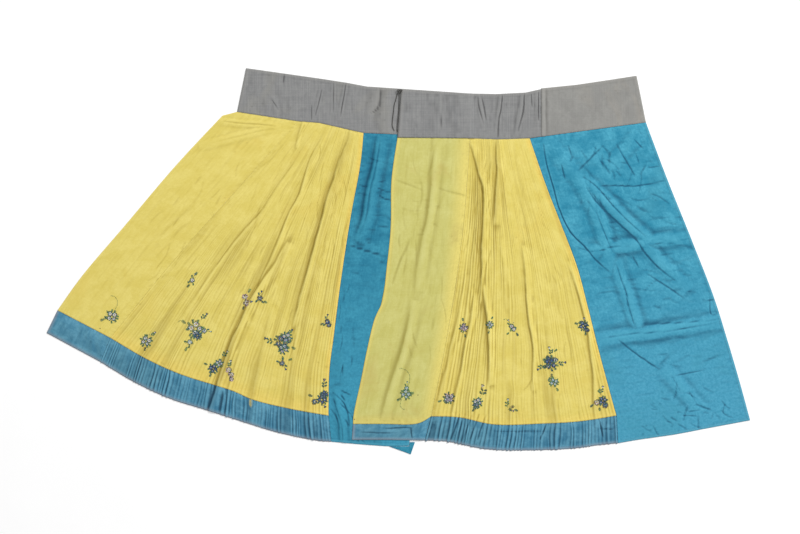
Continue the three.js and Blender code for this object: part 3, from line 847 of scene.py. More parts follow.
def rim_faces(upper, under, skip):
    """Fans from the underside's few points to the upper skin's many, round all four sides."""
    def sides(grid):
        return [grid[0], grid[:, -1], grid[-1][::-1], grid[:, 0][::-1]]

    faces = []
    for above, below, step in zip(sides(upper), sides(under), skip[::-1] * 2):
        middle = step // 2
        for number in range(len(below) - 1):
            start, end = int(below[number]), int(below[number + 1])
            run = [int(i) for i in above[number * step:(number + 1) * step + 1]]
            faces += [(start if i < middle else end, run[i + 1], run[i]) for i in range(step)]
            faces.append((start, end, run[middle]))
    return faces


print("faces between four points:", quads(np.arange(4).reshape(2, 2)))

# %% Building a shell
MARKS = ("cavity", "rim", "line", "tone")
HOLLOW_REACH, FULL_HOLLOW = 4, 0.55
RIM_FADE = 9
THINNEST = 0.45


def cloth_shell(name, plan, relief, lift, uv, skip, line, tone=None, wall=WALL, bed=0.0, free=()):
    """One closed shell of cloth. relief and lift are heights over the wall and over the bed."""
    columns, rows = plan.shape[:2]
    bed = np.broadcast_to(np.reshape(bed, (-1, 1)), (columns, rows))
    few = np.s_[:: skip[0], :: skip[1]]
    top = np.dstack([plan, bed + np.maximum(wall + relief, THINNEST + lift)])
    low = np.dstack([plan, bed + lift])[few]
    upper = np.arange(columns * rows).reshape(columns, rows)
    under = upper.size + np.arange(low.shape[0] * low.shape[1]).reshape(low.shape[:2])
    vertices = np.vstack([top.reshape(-1, 3), low.reshape(-1, 3)]) * MM
    faces = quads(upper) + quads(under, face_down=True) + rim_faces(upper, under, skip)
    made = mesh_object(name, vertices.tolist(), faces)
    mesh = made.data
    uv_all = np.vstack([uv.reshape(-1, 2), uv[few].reshape(-1, 2)]) * MM
    corner_vertex = np.empty(len(mesh.loops), int)
    mesh.loops.foreach_get("vertex_index", corner_vertex)
    mesh.uv_layers.new(name="threads").data.foreach_set("uv", uv_all[corner_vertex].ravel())
    nothing = np.zeros(plan.shape[:2])
    # The materials paint shade where the cavity is above zero and a highlight where it is below.
    cavity = np.clip((blurred(relief, HOLLOW_REACH) - relief) / FULL_HOLLOW, -1, 1)
    rims = [np.clip(1 - away_from(plan, side) / RIM_FADE, 0, 1) for side in free]
    rim = np.maximum.reduce([nothing, *rims])
    for mark, values in zip(MARKS, (cavity, rim, line, nothing if tone is None else tone)):
        both = np.concatenate([values.ravel(), values[few].ravel()])
        mesh.attributes.new(mark, "FLOAT", "POINT").data.foreach_set("value", both.astype(np.float32))
    mesh.shade_smooth()
    mesh.validate()
    return made


print("a shell has a fine upper skin and a coarse underside")

# %% [markdown]
# ## Effects that several materials share
#
# Each effect is a node group with named inputs and outputs. A group gives only colours and values; the
# shader itself stays in the material. All of them read the cloth's own UV map, so they follow the threads.

# %% Node helpers
def srgb(red, green, blue):
    """A colour as read on a screen, 0 to 255, as the linear colour that a shader takes."""
    def linear(value):
        value = value / 255
        return value / 12.92 if value <= 0.04045 else ((value + 0.055) / 1.055) ** 2.4

    return (linear(red), linear(green), linear(blue), 1.0)


def add_node(tree, kind, settings=None, **inputs):
    """A node whose inputs are values, or sockets to link from. i0 is the input number 0, and so on."""
    node = tree.nodes.new(kind)
    for key, value in (settings or {}).items():
        setattr(node, key, value)
    for key, value in inputs.items():
        socket = node.inputs[int(key[1:])] if key[1:].isdigit() else node.inputs[key.replace("_", " ")]
        if isinstance(value, bpy.types.NodeSocket):
            tree.links.new(value, socket)
        else:
            socket.default_value = value
    return node


def math_node(tree, operation, *values):
    inputs = {f"i{number}": value for number, value in enumerate(values)}
    return add_node(tree, "ShaderNodeMath", {"operation": operation}, **inputs).outputs[0]


def mix_colour(tree, factor, first, second):
    return add_node(tree, "ShaderNodeMix", {"data_type": "RGBA"}, i0=factor, i6=first, i7=second).outputs[2]


def flat_noise(tree, threads, **inputs):
    """Noise on the flat cloth, as a value."""
    noise = add_node(tree, "ShaderNodeTexNoise", {"noise_dimensions": "2D"}, Vector=threads, **inputs)
    return noise.outputs[0]


def new_material(name):
    """A material with its tree, its Principled shader and the shader's inputs."""
    material = bpy.data.materials.new(name)
    material.use_nodes = True
    return material, material.node_tree, material.node_tree.nodes["Principled BSDF"].inputs


def new_group(name, inputs, outputs):
    """A shader node group with named inputs (with their usual values) and outputs."""
    tree = bpy.data.node_groups.new(name, "ShaderNodeTree")
    for label, (kind, value) in inputs.items():
        socket = tree.interface.new_socket(label, in_out="INPUT", socket_type=kind)
        if value is not None:
            socket.default_value = value
    for label, kind in outputs.items():
        tree.interface.new_socket(label, in_out="OUTPUT", socket_type=kind)
    return tree, tree.nodes.new("NodeGroupInput"), tree.nodes.new("NodeGroupOutput")


FLOAT, VECTOR = "NodeSocketFloat", "NodeSocketVector"
# Noise of several octaves hardly leaves this span.
NOISE_LOW, NOISE_HIGH = 0.36, 0.64

# %% Weave: threads over and under each other
weave, inside, out = new_group(
    "plain weave", {"Threads": (VECTOR, None), "Spacing": (FLOAT, 0.0004)}, {"Height": FLOAT}
)
place = add_node(weave, "ShaderNodeSeparateXYZ", Vector=inside.outputs["Threads"])
turn = math_node(weave, "DIVIDE", math.tau, inside.outputs["Spacing"])
warp = math_node(weave, "SINE", math_node(weave, "MULTIPLY", place.outputs["X"], turn))
weft = math_node(weave, "SINE", math_node(weave, "MULTIPLY", place.outputs["Y"], turn))
crossing = math_node(weave, "MULTIPLY", warp, weft)
weave.links.new(math_node(weave, "MULTIPLY_ADD", crossing, 0.5, 0.5), out.inputs["Height"])

# %% Slub: threads that are thicker or paler along their length
slub, inside, out = new_group(
    "silk slub", {"Threads": (VECTOR, None), "Fineness": (FLOAT, 600.0), "Length": (FLOAT, 9.0)},
    {"Warp": FLOAT, "Weft": FLOAT},
)
for label, (across, along) in {"Warp": ("Fineness", "Length"), "Weft": ("Length", "Fineness")}.items():
    scale = add_node(slub, "ShaderNodeCombineXYZ", X=inside.outputs[across], Y=inside.outputs[along])
    stretched = add_node(slub, "ShaderNodeVectorMath", {"operation": "MULTIPLY"},
                         i0=inside.outputs["Threads"], i1=scale.outputs[0])
    grain = flat_noise(slub, stretched.outputs[0], Scale=1.0, Detail=3.0, Roughness=0.6)
    slub.links.new(grain, out.inputs[label])

# %% Age: broad stains, small spots and clouds where the dye took unevenly
age, inside, out = new_group(
    "age marks", {"Threads": (VECTOR, None), "Size": (FLOAT, 7.0)},
    {"Stain": FLOAT, "Spots": FLOAT, "Mottle": FLOAT, "Cloud": FLOAT},
)
threads = inside.outputs["Threads"]
broad = flat_noise(age, threads, Scale=inside.outputs["Size"], Detail=4.0, Roughness=0.62, Distortion=0.6)
stain = add_node(age, "ShaderNodeMapRange", {"interpolation_type": "SMOOTHSTEP"}, Value=broad,
                 From_Min=0.5, From_Max=0.72)
age.links.new(stain.outputs[0], out.inputs["Stain"])
cells = add_node(age, "ShaderNodeTexVoronoi", {"voronoi_dimensions": "2D"}, Vector=threads, Scale=26.0)
spots = add_node(age, "ShaderNodeMapRange", Value=cells.outputs["Distance"], From_Min=0.1, From_Max=0.02)
age.links.new(math_node(age, "MULTIPLY", spots.outputs[0], stain.outputs[0]), out.inputs["Spots"])
for label, scale in {"Mottle": 150.0, "Cloud": 24.0}.items():
    grain = flat_noise(age, threads, Scale=scale, Detail=5.0, Roughness=0.65, Distortion=0.3)
    level = add_node(age, "ShaderNodeMapRange", Value=grain, From_Min=NOISE_LOW, From_Max=NOISE_HIGH)
    age.links.new(level.outputs[0], out.inputs[label])

# %% Painted shade in the hollows and along the creases, a painted highlight on the crests, wear on the edges
shade_and_wear, inside, out = new_group(
    "shade_and_wear", {"Highlight and wear": (FLOAT, 1.0)}, dict.fromkeys(("Hollow", "Crest", "Edge", "Line", "Tone"), FLOAT)
)
marks = {
    mark: add_node(shade_and_wear, "ShaderNodeAttribute", {"attribute_name": mark}).outputs["Fac"] for mark in MARKS
}
for label, mark in {"Hollow": "cavity", "Line": "line", "Tone": "tone"}.items():
    shade_and_wear.links.new(math_node(shade_and_wear, "MAXIMUM", marks[mark], 0.0), out.inputs[label])
crest = math_node(shade_and_wear, "MAXIMUM", math_node(shade_and_wear, "MULTIPLY", marks["cavity"], -1.0), 0.0)
for label, mark in {"Crest": crest, "Edge": marks["rim"]}.items():
    shade_and_wear.links.new(math_node(shade_and_wear, "MULTIPLY", mark, inside.outputs["Highlight and wear"]), out.inputs[label])
print("shared effects:", [group.name for group in bpy.data.node_groups])

# %% [markdown]
# ## The cloths
#
# One recipe makes all of the cloths: a ground colour, darker and paler threads, mottling, stains, dust spots,
# painted shade in the hollows and along the creases, a painted highlight on the crests and wear on the free
# edges. What differs is the colours and how strong each effect is.

# %% Recipe of a cloth
SPOT_DEPTH = 0.35
SHEEN_ROUGHNESS = 0.45
WEAVE_DEPTH = 0.0003


def use_group(tree, group, **inputs):
    return add_node(tree, "ShaderNodeGroup", {"node_tree": group}, **inputs).outputs


def cloth_material(name, tints, roughness=0.6, spacing=0.0005, fineness=900.0, slub_depth=0.25,
                   mottle_depth=0.25, cloud_depth=0.3, stain_depth=0.4, hollow_depth=0.6, line_depth=0.8,
                   crest_depth=0.3, edge_depth=0.3, bump=0.2, sheen=0.1, shine=0.3):
    """A cloth from its seven tints. A depth says how strongly its effect tints the ground."""
    ground, dark, pale, toned, stain, dust_and_shade, worn = (srgb(*tint) for tint in tints)
    material, tree, shader = new_material(name)
    threads = add_node(tree, "ShaderNodeUVMap", {"uv_map": "threads"}).outputs[0]
    woven = use_group(tree, weave, Threads=threads, Spacing=spacing)
    uneven = use_group(tree, slub, Threads=threads, Fineness=fineness)
    aged = use_group(tree, age, Threads=threads)
    shaded_and_worn = use_group(tree, shade_and_wear)
    weft = math_node(tree, "MULTIPLY", uneven["Weft"], 0.4)
    both = math_node(tree, "MULTIPLY_ADD", uneven["Warp"], 0.6, weft)
    level = add_node(tree, "ShaderNodeMapRange", Value=both, From_Min=NOISE_LOW, From_Max=NOISE_HIGH)
    level = level.outputs[0]
    colour = mix_colour(tree, slub_depth, ground, mix_colour(tree, level, dark, pale))
    colour = mix_colour(tree, cloud_depth, colour, mix_colour(tree, aged["Cloud"], dark, pale))
    colour = mix_colour(tree, shaded_and_worn["Tone"], colour, toned)
    # The dust colour marks real spots and also paints shade in the hollows and along the creases; the pale
    # colour paints a highlight on the crests.
    effects = [
        (aged["Mottle"], mottle_depth, dark), (aged["Stain"], stain_depth, stain),
        (aged["Spots"], SPOT_DEPTH, dust_and_shade), (shaded_and_worn["Hollow"], hollow_depth, dust_and_shade),
        (shaded_and_worn["Line"], line_depth, dust_and_shade), (shaded_and_worn["Crest"], crest_depth, pale),
        (shaded_and_worn["Edge"], edge_depth, worn),
    ]
    for mask, depth, tint in effects:
        colour = mix_colour(tree, math_node(tree, "MULTIPLY", mask, depth), colour, tint)
    rough = math_node(tree, "MULTIPLY_ADD", uneven["Weft"], 0.2, roughness - 0.1)
    height = math_node(tree, "MULTIPLY_ADD", woven["Height"], 0.5, level)
    relief = add_node(tree, "ShaderNodeBump", Height=height, Strength=bump, Distance=WEAVE_DEPTH).outputs[0]
    for label, socket in {"Base Color": colour, "Roughness": rough, "Normal": relief}.items():
        tree.links.new(socket, shader[label])
    shader["Sheen Weight"].default_value = sheen
    shader["Sheen Roughness"].default_value = SHEEN_ROUGHNESS
    shader["Specular IOR Level"].default_value = shine
    return material


# %% The eight cloths
# Colours as read on a screen: ground, dark threads, pale threads (also the painted highlight on the crests),
# other tone, stain, dust (also the painted shade in the hollows and along the creases) and worn edge.
# Then what differs from the recipe.
blue = dict(hollow_depth=0.8, crest_depth=0.45, sheen=0.03, shine=0.2)
cotton = dict(roughness=0.85, spacing=0.0009, fineness=300.0, sheen=0.05)
CLOTH_ROWS = {
    "silk_yellow": (
        [(231, 213, 108), (210, 190, 86), (240, 225, 136), (244, 210, 98), (222, 198, 92), (152, 128, 38),
         (240, 220, 124)],
        dict(hollow_depth=0.58, crest_depth=0.4, stain_depth=0.45)),
    "silk_green_yellow": (
        [(206, 202, 116), (190, 182, 92), (218, 214, 138), (230, 213, 116), (196, 180, 98), (150, 138, 56),
         (238, 214, 110)],
        dict(hollow_depth=0.7, crest_depth=0.35, stain_depth=0.6, edge_depth=0.45, slub_depth=0.4)),
    "silk_blue_dark": (
        [(38, 136, 166), (18, 108, 140), (68, 160, 186), (64, 156, 186), (44, 124, 148), (2, 62, 92),
         (96, 160, 180)],
        dict(blue, cloud_depth=0.5, slub_depth=0.7, mottle_depth=0.35)),
    "silk_blue": (
        [(48, 152, 184), (24, 126, 158), (84, 176, 202), (80, 164, 194), (62, 146, 170), (4, 72, 104),
         (104, 164, 182)],
        dict(blue, cloud_depth=0.6, slub_depth=0.9, mottle_depth=0.45)),
    "hem_blue": (
        [(74, 144, 172), (42, 106, 138), (110, 172, 196), (216, 200, 112), (92, 142, 156), (22, 62, 86),
         (150, 142, 148)],
        dict(slub_depth=0.5, hollow_depth=0.9, crest_depth=0.5, cloud_depth=0.6, mottle_depth=0.35,
             edge_depth=0.6, sheen=0.04, shine=0.2)),
    "cotton_grey": (
        [(138, 138, 138), (122, 123, 124), (156, 156, 154), (150, 148, 144), (150, 148, 140), (72, 72, 72),
         (160, 158, 152)],
        dict(cotton, hollow_depth=0.7, bump=0.45, line_depth=0.9, cloud_depth=0.15, slub_depth=0.5)),
    "cotton_warm_grey": (
        [(146, 146, 143), (132, 131, 128), (160, 159, 154), (156, 153, 146), (158, 152, 142), (96, 94, 90),
         (166, 163, 156)],
        dict(cotton, bump=0.35)),
    "tie_thread": (
        [(66, 65, 62), (44, 43, 41), (100, 98, 92), (96, 94, 88), (96, 92, 84), (40, 39, 38),
         (120, 118, 112)],
        dict(roughness=0.8, spacing=0.0004, hollow_depth=0.8, bump=0.5)),
}
CLOTHS = {name: cloth_material(name, tints, **differs) for name, (tints, differs) in CLOTH_ROWS.items()}
print("cloths:", ", ".join(CLOTHS))

# %% [markdown]
# ## The table
#
# A photographer's white sweep: nearly white, matt, with a trace of unevenness so that it isn't a flat tone.
# It glows faintly, as paper does when light comes through it from below, so that it stays clean white.

# %% Table material
GLOW = 0.12
SHADED, BRIGHT = (0.93, 0.93, 0.93, 1), (0.96, 0.96, 0.96, 1)
MATT = 0.9
paper, tree, shader = new_material("paper")
place = add_node(tree, "ShaderNodeTexCoord").outputs["Object"]
grain = add_node(tree, "ShaderNodeTexNoise", Vector=place, Scale=9.0, Detail=2.0).outputs[0]
tree.links.new(mix_colour(tree, grain, SHADED, BRIGHT), shader["Base Color"])
shader["Roughness"].default_value = MATT
shader["Emission Color"].default_value = (1, 1, 1, 1)
shader["Emission Strength"].default_value = GLOW
table.data.materials.append(paper)
print("table material:", paper.name)

# %% [markdown]
# ## The panels
#
# Now each piece of cloth is cut from its lines, creased, pleated where it is pleated, and made a shell.
# It stands for the solid of the same piece. Its plan is kept for the sewing, and its cut size is printed.

# %% Finishing a piece
pieces_of_cloth = {}
plans = {}


def finish_piece(piece, node, slot, cut=None):
    """Gives a piece its cloth and its solid. A cut is a rectangle, an area, and what the piece lies on."""
    piece.data.materials.append(CLOTHS[slot])
    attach(piece, "root")
    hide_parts(node)
    pieces_of_cloth[node] = piece
    size = "no sheet"
    if cut:
        size = f"cut {cut[0][0]:.3f} by {cut[0][1]:.3f} m, {cut[1]:.4f} square metres"
    print(node, len(piece.data.polygons), "faces,", size)


def eased(steps):
    """Shares from 0 to 1 that lie closer together at both ends."""
    t = np.linspace(0, 1, steps + 1)
    return t - 0.1 * np.sin(2 * np.pi * t)


def sizes_of(plan):
    """The width of each row and the length of each column of a plan, in millimetres."""
    across = np.linalg.norm(np.diff(plan, axis=0), axis=2).sum(axis=0)
    along = np.linalg.norm(np.diff(plan, axis=1), axis=2).sum(axis=1)
    return across, along


def flat_of(plan):
    """The rectangle that the cut fits in, and its area, in metres."""
    width, length = (float(sizes.max()) for sizes in sizes_of(plan))
    return (width * MM, length * MM), min(plan_area(plan), width * length * MM * MM)


# %% Other tones of the dye
# Where the dye has another tone: how far in from a side, in millimetres, and how strong it is.
TONES = {
    "panel_a_pleated": [("right", 16, 0.9), ("hem", 50, 0.5)],
    "panel_b_flat": [("right", 52, 1.0), ("left", 16, 0.6), ("hem", 30, 0.9)],
    "panel_b_pleated": [("right", 18, 0.8), ("hem", 26, 0.4)],
    "underlap_a": [("hem", 620, 1.0)],
    "underlap_b": [("hem", 640, 1.0)],
}
# Small patches of another tone: middle, half width, half height.
PATCHES = {"hem_a_pleated": [((-391, -374), 4.5, 11)]}


def tone_marks(node, plan):
    """How much of the other tone each place has, from 0 to 1."""
    tone = np.zeros(plan.shape[:2])
    for side, reach, strength in TONES.get(node, []):
        share = np.clip(1 - away_from(plan, side) / reach, 0, 1)
        tone = np.maximum(tone, strength * share * share * (3 - 2 * share))
    for middle, half_width, half_height in PATCHES.get(node, []):
        away = np.hypot(*np.moveaxis((plan - middle) / (half_width, half_height), -1, 0))
        tone = np.maximum(tone, np.clip(2.5 - 2 * away, 0, 1))
    return tone


print("panels with another tone:", ", ".join(TONES))

# %% One panel
# A fold of this height lifts the underside too, by this share. A panel of few rows has them in equal steps.
LIFTING, UNDER_SHARE = 2.4, 0.6
FEW_ROWS = 30
WAVE_CELL = (85, 120)
# A hem band's pleats have at least this share of their rise, and gain this much where they are pressed.
BAND_LEAST, BAND_GAIN = 0.4, 0.5


def big(group):
    """The folds that are high enough to lift the underside too."""
    return [fold for fold in RIDGES[group] if fold.height >= LIFTING]


def panel(node, slot, sides, rows, folds, sewn, free, skip, seed, columns=None, pleats=None, bed=None,
          down_start=0.0, waves=0.5, crinkle=(0.1, 6, 60), rests_on="table", lifts=True, uneven=0.6,
          tooth=0.0, soft=()):
    """One piece of cloth: its plan, its relief, and its shell. Gives its mean length in millimetres."""
    v = eased(rows) if rows > FEW_ROWS else np.linspace(0, 1, rows + 1)
    u, heights = pleat_shares(pleats, seed) if pleats else (eased(columns), None)
    plan = panel_plan(*sides, u, v)
    width, length = (float(sizes.mean()) for sizes in sizes_of(plan))
    down = down_start + v * length
    if pleats:
        stray = pleat_wander(u, down, pleats, seed)
        plan = plan + np.gradient(plan, axis=0) / np.gradient(u)[:, None, None] * stray[..., None]
    inset_sewn(plan, sewn)
    cut = (*flat_of(plan), rests_on)
    x, y = np.meshgrid(u * width, down, indexing="ij")
    bent = crooked(plan, seed + 30)
    relief = folds_height(RIDGES[folds], CREASES[folds], bent)
    relief += waves * (0.5 + 0.5 * soft_noise(plan[..., 0], plan[..., 1], *WAVE_CELL, seed + 5))
    depth, across, along = crinkle
    relief += depth * soft_noise(x, y, across, along, seed + 6)
    relief += 0.5 * depth * soft_noise(x, y, across * 0.5, along * 0.4, seed + 7)
    # The line mark is painted shade: along the creases, at the feet of the ledges and in the bands of the
    # hollows.
    line = np.maximum(line_marks(CREASES[folds], bent), shade_marks(RIDGES[folds], bent))
    line = np.maximum(line, shade_band_marks(SHADE_BANDS.get(folds, []), bent))
    if pleats:
        pressed = PLEAT_RISE * pressed_here(PRESSED[folds], u, down / (down_start or length))
        if down_start:
            pressed = HEM_RISE * (BAND_LEAST + BAND_GAIN * pressed / PLEAT_RISE)
        ridges = pleat_relief(heights, pressed, down, pleats, seed + 9, uneven)
        relief += ridges
        line = np.maximum(line, pleat_streaks(pressed, u, down, pleats, seed + 14))
        if tooth:
            out = plan[:, -1] - plan[:, -2]
            out /= np.linalg.norm(out, axis=1, keepdims=True)
            plan[:, -1] += out * (ridges[:, -1:] / HEM_RISE) * tooth
    relief += seam_relief(plan, sewn, free, soft, seed + 20)
    plans[node] = plan
    lifted = [fold_height(fold, bent) for fold in big(folds)] if lifts else []
    lift = UNDER_SHARE * np.maximum.reduce([*lifted, np.zeros(plan.shape[:2])])
    made = cloth_shell("cloth_" + node, plan, relief, lift, np.dstack([x, y]), skip, line,
                       tone_marks(node, plan), bed=bed(u) if bed else 0.0, free=free)
    finish_piece(made, node, slot, cut)
    return length


# %% Apron A
# What all flat panels share, and what all pleated ones share.
FLAT = dict(sewn=("right",), free=("left",), soft=("right",), skip=(8, 12))
PLEATED = dict(sewn=("left", "right"), free=(), soft=("left",), skip=(7, 8))
UNDERLAP = dict(sewn=("left", "waist"), free=("right", "hem"), skip=(8, 12), crinkle=(0.1, 26, 6))
BAND_SKIP = 4


def panel_and_band(part, slot, left, right, edges, rows, sewn, free, soft, skip, band, **both):
    """A panel, and under it the length of hem band that runs on with the same columns or pleats."""
    edges = EDGES[edges]
    start, end = cloth_line(left), cloth_line(right)
    sides = (start, end, edge_between(start[0], edges["waist"], end[0], smooth=False),
             edge_between(start[-1], edges["band"], end[-1]))
    length = panel("panel_" + part, slot, sides, rows, sewn=(*sewn, "waist", "hem"), free=free, soft=soft,
                   skip=skip, **both)
    start, end = hem_line(left), hem_line(right)
    sides = (start, end, edge_between(start[0], edges["band"], end[0]),
             edge_between(start[1], edges["hem"], end[1]))
    panel("hem_" + part, "hem_blue", sides, sewn=(*sewn, "waist"), free=(*free, "hem"),
          skip=(skip[0], BAND_SKIP), down_start=length, **{**both, **band})


panel_and_band("a_flat", "silk_yellow", "left", "pleats_a", "front_a", rows=216, columns=120, folds="a",
               seed=100, band=dict(rows=20), **FLAT)
panel_and_band("a_pleated", "silk_yellow", "pleats_a", "blue_a", "pleats_a", rows=176, pleats=PLEATS["a"],
               folds="a", seed=200, band=dict(rows=20, tooth=HEM_TOOTH), **PLEATED)

# %% Underlap of apron A
def underlap_sides(left, right, edges):
    start, end, edges = whole_line(left), whole_line(right), EDGES[edges]
    return (start, end, edge_between(start[0], edges["waist"], end[0]),
            edge_between(start[-1], edges["hem"], end[-1]))


panel("underlap_a", "silk_blue_dark", underlap_sides("blue_a", "hidden", "blue_a"), 240, columns=144,
      folds="blue_a", seed=300, lifts=False, **UNDERLAP)

# %% [markdown]
# ## Apron B
#
# The front panel of apron B lies on the underlap of apron A, so its underside is one wall and a small gap
# up, and it comes down to the table just past the underlap's hidden edge.

# %% Apron B
RAMP_START, RAMP_END = 0.93, 1.0


def ramp(height, start, end):
    """The height of what lies below, by share of the way across: full up to start, and none past end."""
    return lambda u: height * (1 - np.clip((u - start) / (end - start), 0, 1))


panel_and_band("b_flat", "silk_green_yellow", "front_b", "pleats_b", "front_b", rows=240, columns=104,
               folds="b", seed=400, bed=ramp(WALL + LAYER_GAP, RAMP_START, RAMP_END),
               rests_on="cloth_underlap_a", band=dict(rows=20), **FLAT)
panel_and_band("b_pleated", "silk_yellow", "pleats_b", "blue_b", "pleats_b", rows=200, pleats=PLEATS["b"],
               folds="b", seed=500, uneven=0.7, band=dict(rows=24, tooth=2 * HEM_TOOTH, uneven=0.8),
               **PLEATED)
panel("underlap_b", "silk_blue", underlap_sides("blue_b", "right", "blue_b"), 288, columns=160,
      folds="blue_b", seed=600, waves=0.8, **UNDERLAP)

# %% [markdown]
# ## The waistband
#
# The waistband is coarse grey cotton, folded double, in three lengths. The part on apron B climbs over the
# end of the part on apron A, and its tucks are sewn folds that stand up.

# %% Waistband
BANDS = {
    "waistband_a": [((-403, 511.5), (-427, 396)), ((-250, 490), (-266, 371)), ((-195, 482), (-210, 367)),
                    ((-137, 473), (-150, 353)), ((-83, 463), (-92, 340)), ((169, 446), (169, 329))],
    "waistband_b": [((8, 455), (-2, 328)), ((185, 444.5), (190, 326)), ((262, 443), (263, 323)),
                    ((337, 447), (349, 326)), ((378, 456), (378, 330))],
    "waistband_c": [((378, 458), (378, 330)), ((472, 467.5), (470, 342.5)), ((569, 482), (565, 355.5)),
                    ((631, 491.6), (656, 368))],
}
BAND_ROWS, BAND_UNDER_SKIP = 48, (4, 8)
CLIMB_START, CLIMB_END = 0.25, 0.3


def waistband(node, slot, folds, sewn, free, columns, seed, bed=None, rests_on="table"):
    """One length of the waistband, filled in between its sections from left to right."""
    sections = np.array(BANDS[node], float)
    share = np.linspace(0, len(sections) - 1, columns + 1)
    part = np.minimum(share.astype(int), len(sections) - 2)
    past = (share - part)[:, None, None]
    at = sections[part] * (1 - past) + sections[part + 1] * past
    v = eased(BAND_ROWS)
    plan = at[:, :1] * (1 - v)[None, :, None] + at[:, 1:] * v[None, :, None]
    cut = (*flat_of(plan), rests_on)
    inset_sewn(plan, sewn)
    bent = crooked(plan, seed + 5)
    relief = folds_height(RIDGES[folds], CREASES[folds], bent)
    relief += bumps(plan[..., 0], plan[..., 1], BAND_BUMPS, seed)
    relief += seam_relief(plan, sewn, free, (), seed + 2)
    plans[node] = plan
    made = cloth_shell("cloth_" + node, plan, relief, np.zeros(plan.shape[:2]), plan.copy(), BAND_UNDER_SKIP,
                       line_marks(CREASES[folds], bent), wall=BAND_WALL, free=free,
                       bed=bed(share / (len(sections) - 1)) if bed else 0.0)
    finish_piece(made, node, slot, cut)


waistband("waistband_a", "cotton_grey", "waist_a", ("hem",), ("left", "waist"), columns=240, seed=700)
waistband("waistband_b", "cotton_grey", "waist_b", ("right", "hem"), ("left", "waist"), columns=160, seed=740,
          bed=ramp(BAND_WALL + LAYER_GAP, CLIMB_START, CLIMB_END), rests_on="cloth_waistband_a")
waistband("waistband_c", "cotton_warm_grey", "waist_b", ("left", "hem"), ("right", "waist"), columns=120,
          seed=780)

# %% [markdown]
# ## The turned-out corner
#
# Below the hem of apron B a corner of the blue underlap peeps out. It is a small flat shell of its own.

# %% Corner
CORNER = [(-24, -490.6), (32.9, -511.5), (44, -479.2), (30.4, -479.2), (28.5, -490.2)]
CORNER_CUT = (0.068, 0.0325)


def finish_shape(made, shape, thread_place):
    """Turns a bmesh into the object's mesh, with a place on the threads for each corner, and no marks."""
    bmesh.ops.recalc_face_normals(shape, faces=shape.faces[:])
    threads = shape.loops.layers.uv.new("threads")
    for face in shape.faces:
        face.smooth = len(face.verts) <= 4
        for corner in face.loops:
            corner[threads].uv = thread_place(corner.vert)
    shape.to_mesh(made.data)
    shape.free()
    for mark in MARKS:
        made.data.attributes.new(mark, "FLOAT", "POINT")
    return made


def corner_shell(name, outline, wall):
    """A flat piece cut along an outline, finely divided on top so that it can be uneven."""
    shape = bmesh.new()
    shape.faces.new([shape.verts.new((x * MM, y * MM, 0)) for x, y in outline])
    bmesh.ops.triangulate(shape, faces=shape.faces[:])
    bmesh.ops.subdivide_edges(shape, edges=shape.edges[:], cuts=9, use_grid_fill=True)
    bmesh.ops.recalc_face_normals(shape, faces=shape.faces[:])
    if shape.faces[:][0].normal.z < 0:
        bmesh.ops.reverse_faces(shape, faces=shape.faces[:])
    grown = bmesh.ops.extrude_face_region(shape, geom=shape.faces[:])
    for vertex in (item for item in grown["geom"] if isinstance(item, bmesh.types.BMVert)):
        uneven = 0.3 * float(soft_noise(np.array(vertex.co.x / MM), np.array(vertex.co.y / MM), 14, 9, 820))
        vertex.co.z += (wall + uneven) * MM
    return finish_shape(mesh_object(name, [], []), shape, lambda vertex: vertex.co.xy)


x, y = np.array(CORNER).T
corner_area = abs(float((x * np.roll(y, -1) - np.roll(x, -1) * y).sum())) / 2 * MM * MM
finish_piece(corner_shell("cloth_underlap_a_corner", CORNER, WALL), "underlap_a_corner", "silk_blue_dark",
             (CORNER_CUT, corner_area, "table"))

# %% [markdown]
# ## The tie
#
# A thin tie is knotted through the top of the waistband where apron B starts. Its two ends hang down
# beside the edge and lie on the waistband. They are twisted from two strands, so the tube has a fluted
# section that turns as it runs.

# %% Tubes
RING_STEP = 0.0015


def tube(name, path, radius, sides, closed=False, turns=0.0, flute=0.0, taper=0.0):
    """A fluted tube along a path in millimetres, with closed ends, or closed on itself."""
    path = np.array(path, float)
    count = len(path)
    ahead = np.roll(path, -1, axis=0) - np.roll(path, 1, axis=0) if closed else np.gradient(path, axis=0)
    ahead /= np.linalg.norm(ahead, axis=1, keepdims=True)
    vertices, faces = [], []
    for number, (middle, along) in enumerate(zip(path, ahead)):
        side = np.cross(along, (0.0, 0.0, 1.0))
        side /= max(np.linalg.norm(side), 1e-6)
        over = np.cross(side, along)
        twist = 2 * math.pi * turns * number / count
        from_end = min(number, count - 1 - number) / 2
        size = radius * (1 - taper * max(0.0, 1 - from_end)) if taper else radius
        for step in range(sides):
            angle = 2 * math.pi * step / sides
            reach = size * (1 - flute + flute * abs(math.cos(angle - twist)))
            vertices.append(middle + side * reach * math.cos(angle) + over * reach * math.sin(angle))
    for ring in range(count if closed else count - 1):
        this, following = ring * sides, (ring + 1) % count * sides
        for step in range(sides):
            after = (step + 1) % sides
            faces.append((this + step, following + step, following + after, this + after))
    if not closed:
        faces += [tuple(range(sides)), tuple((count - 1) * sides + step for step in reversed(range(sides)))]
    made = mesh_object(name, (np.array(vertices) * MM).tolist(), faces)
    shape = bmesh.new()
    shape.from_mesh(made.data)

    def thread_place(vertex):
        ring, step = divmod(vertex.index, sides)
        return step / sides * 2 * math.pi * radius * MM, ring * RING_STEP

    return finish_shape(made, shape, thread_place)


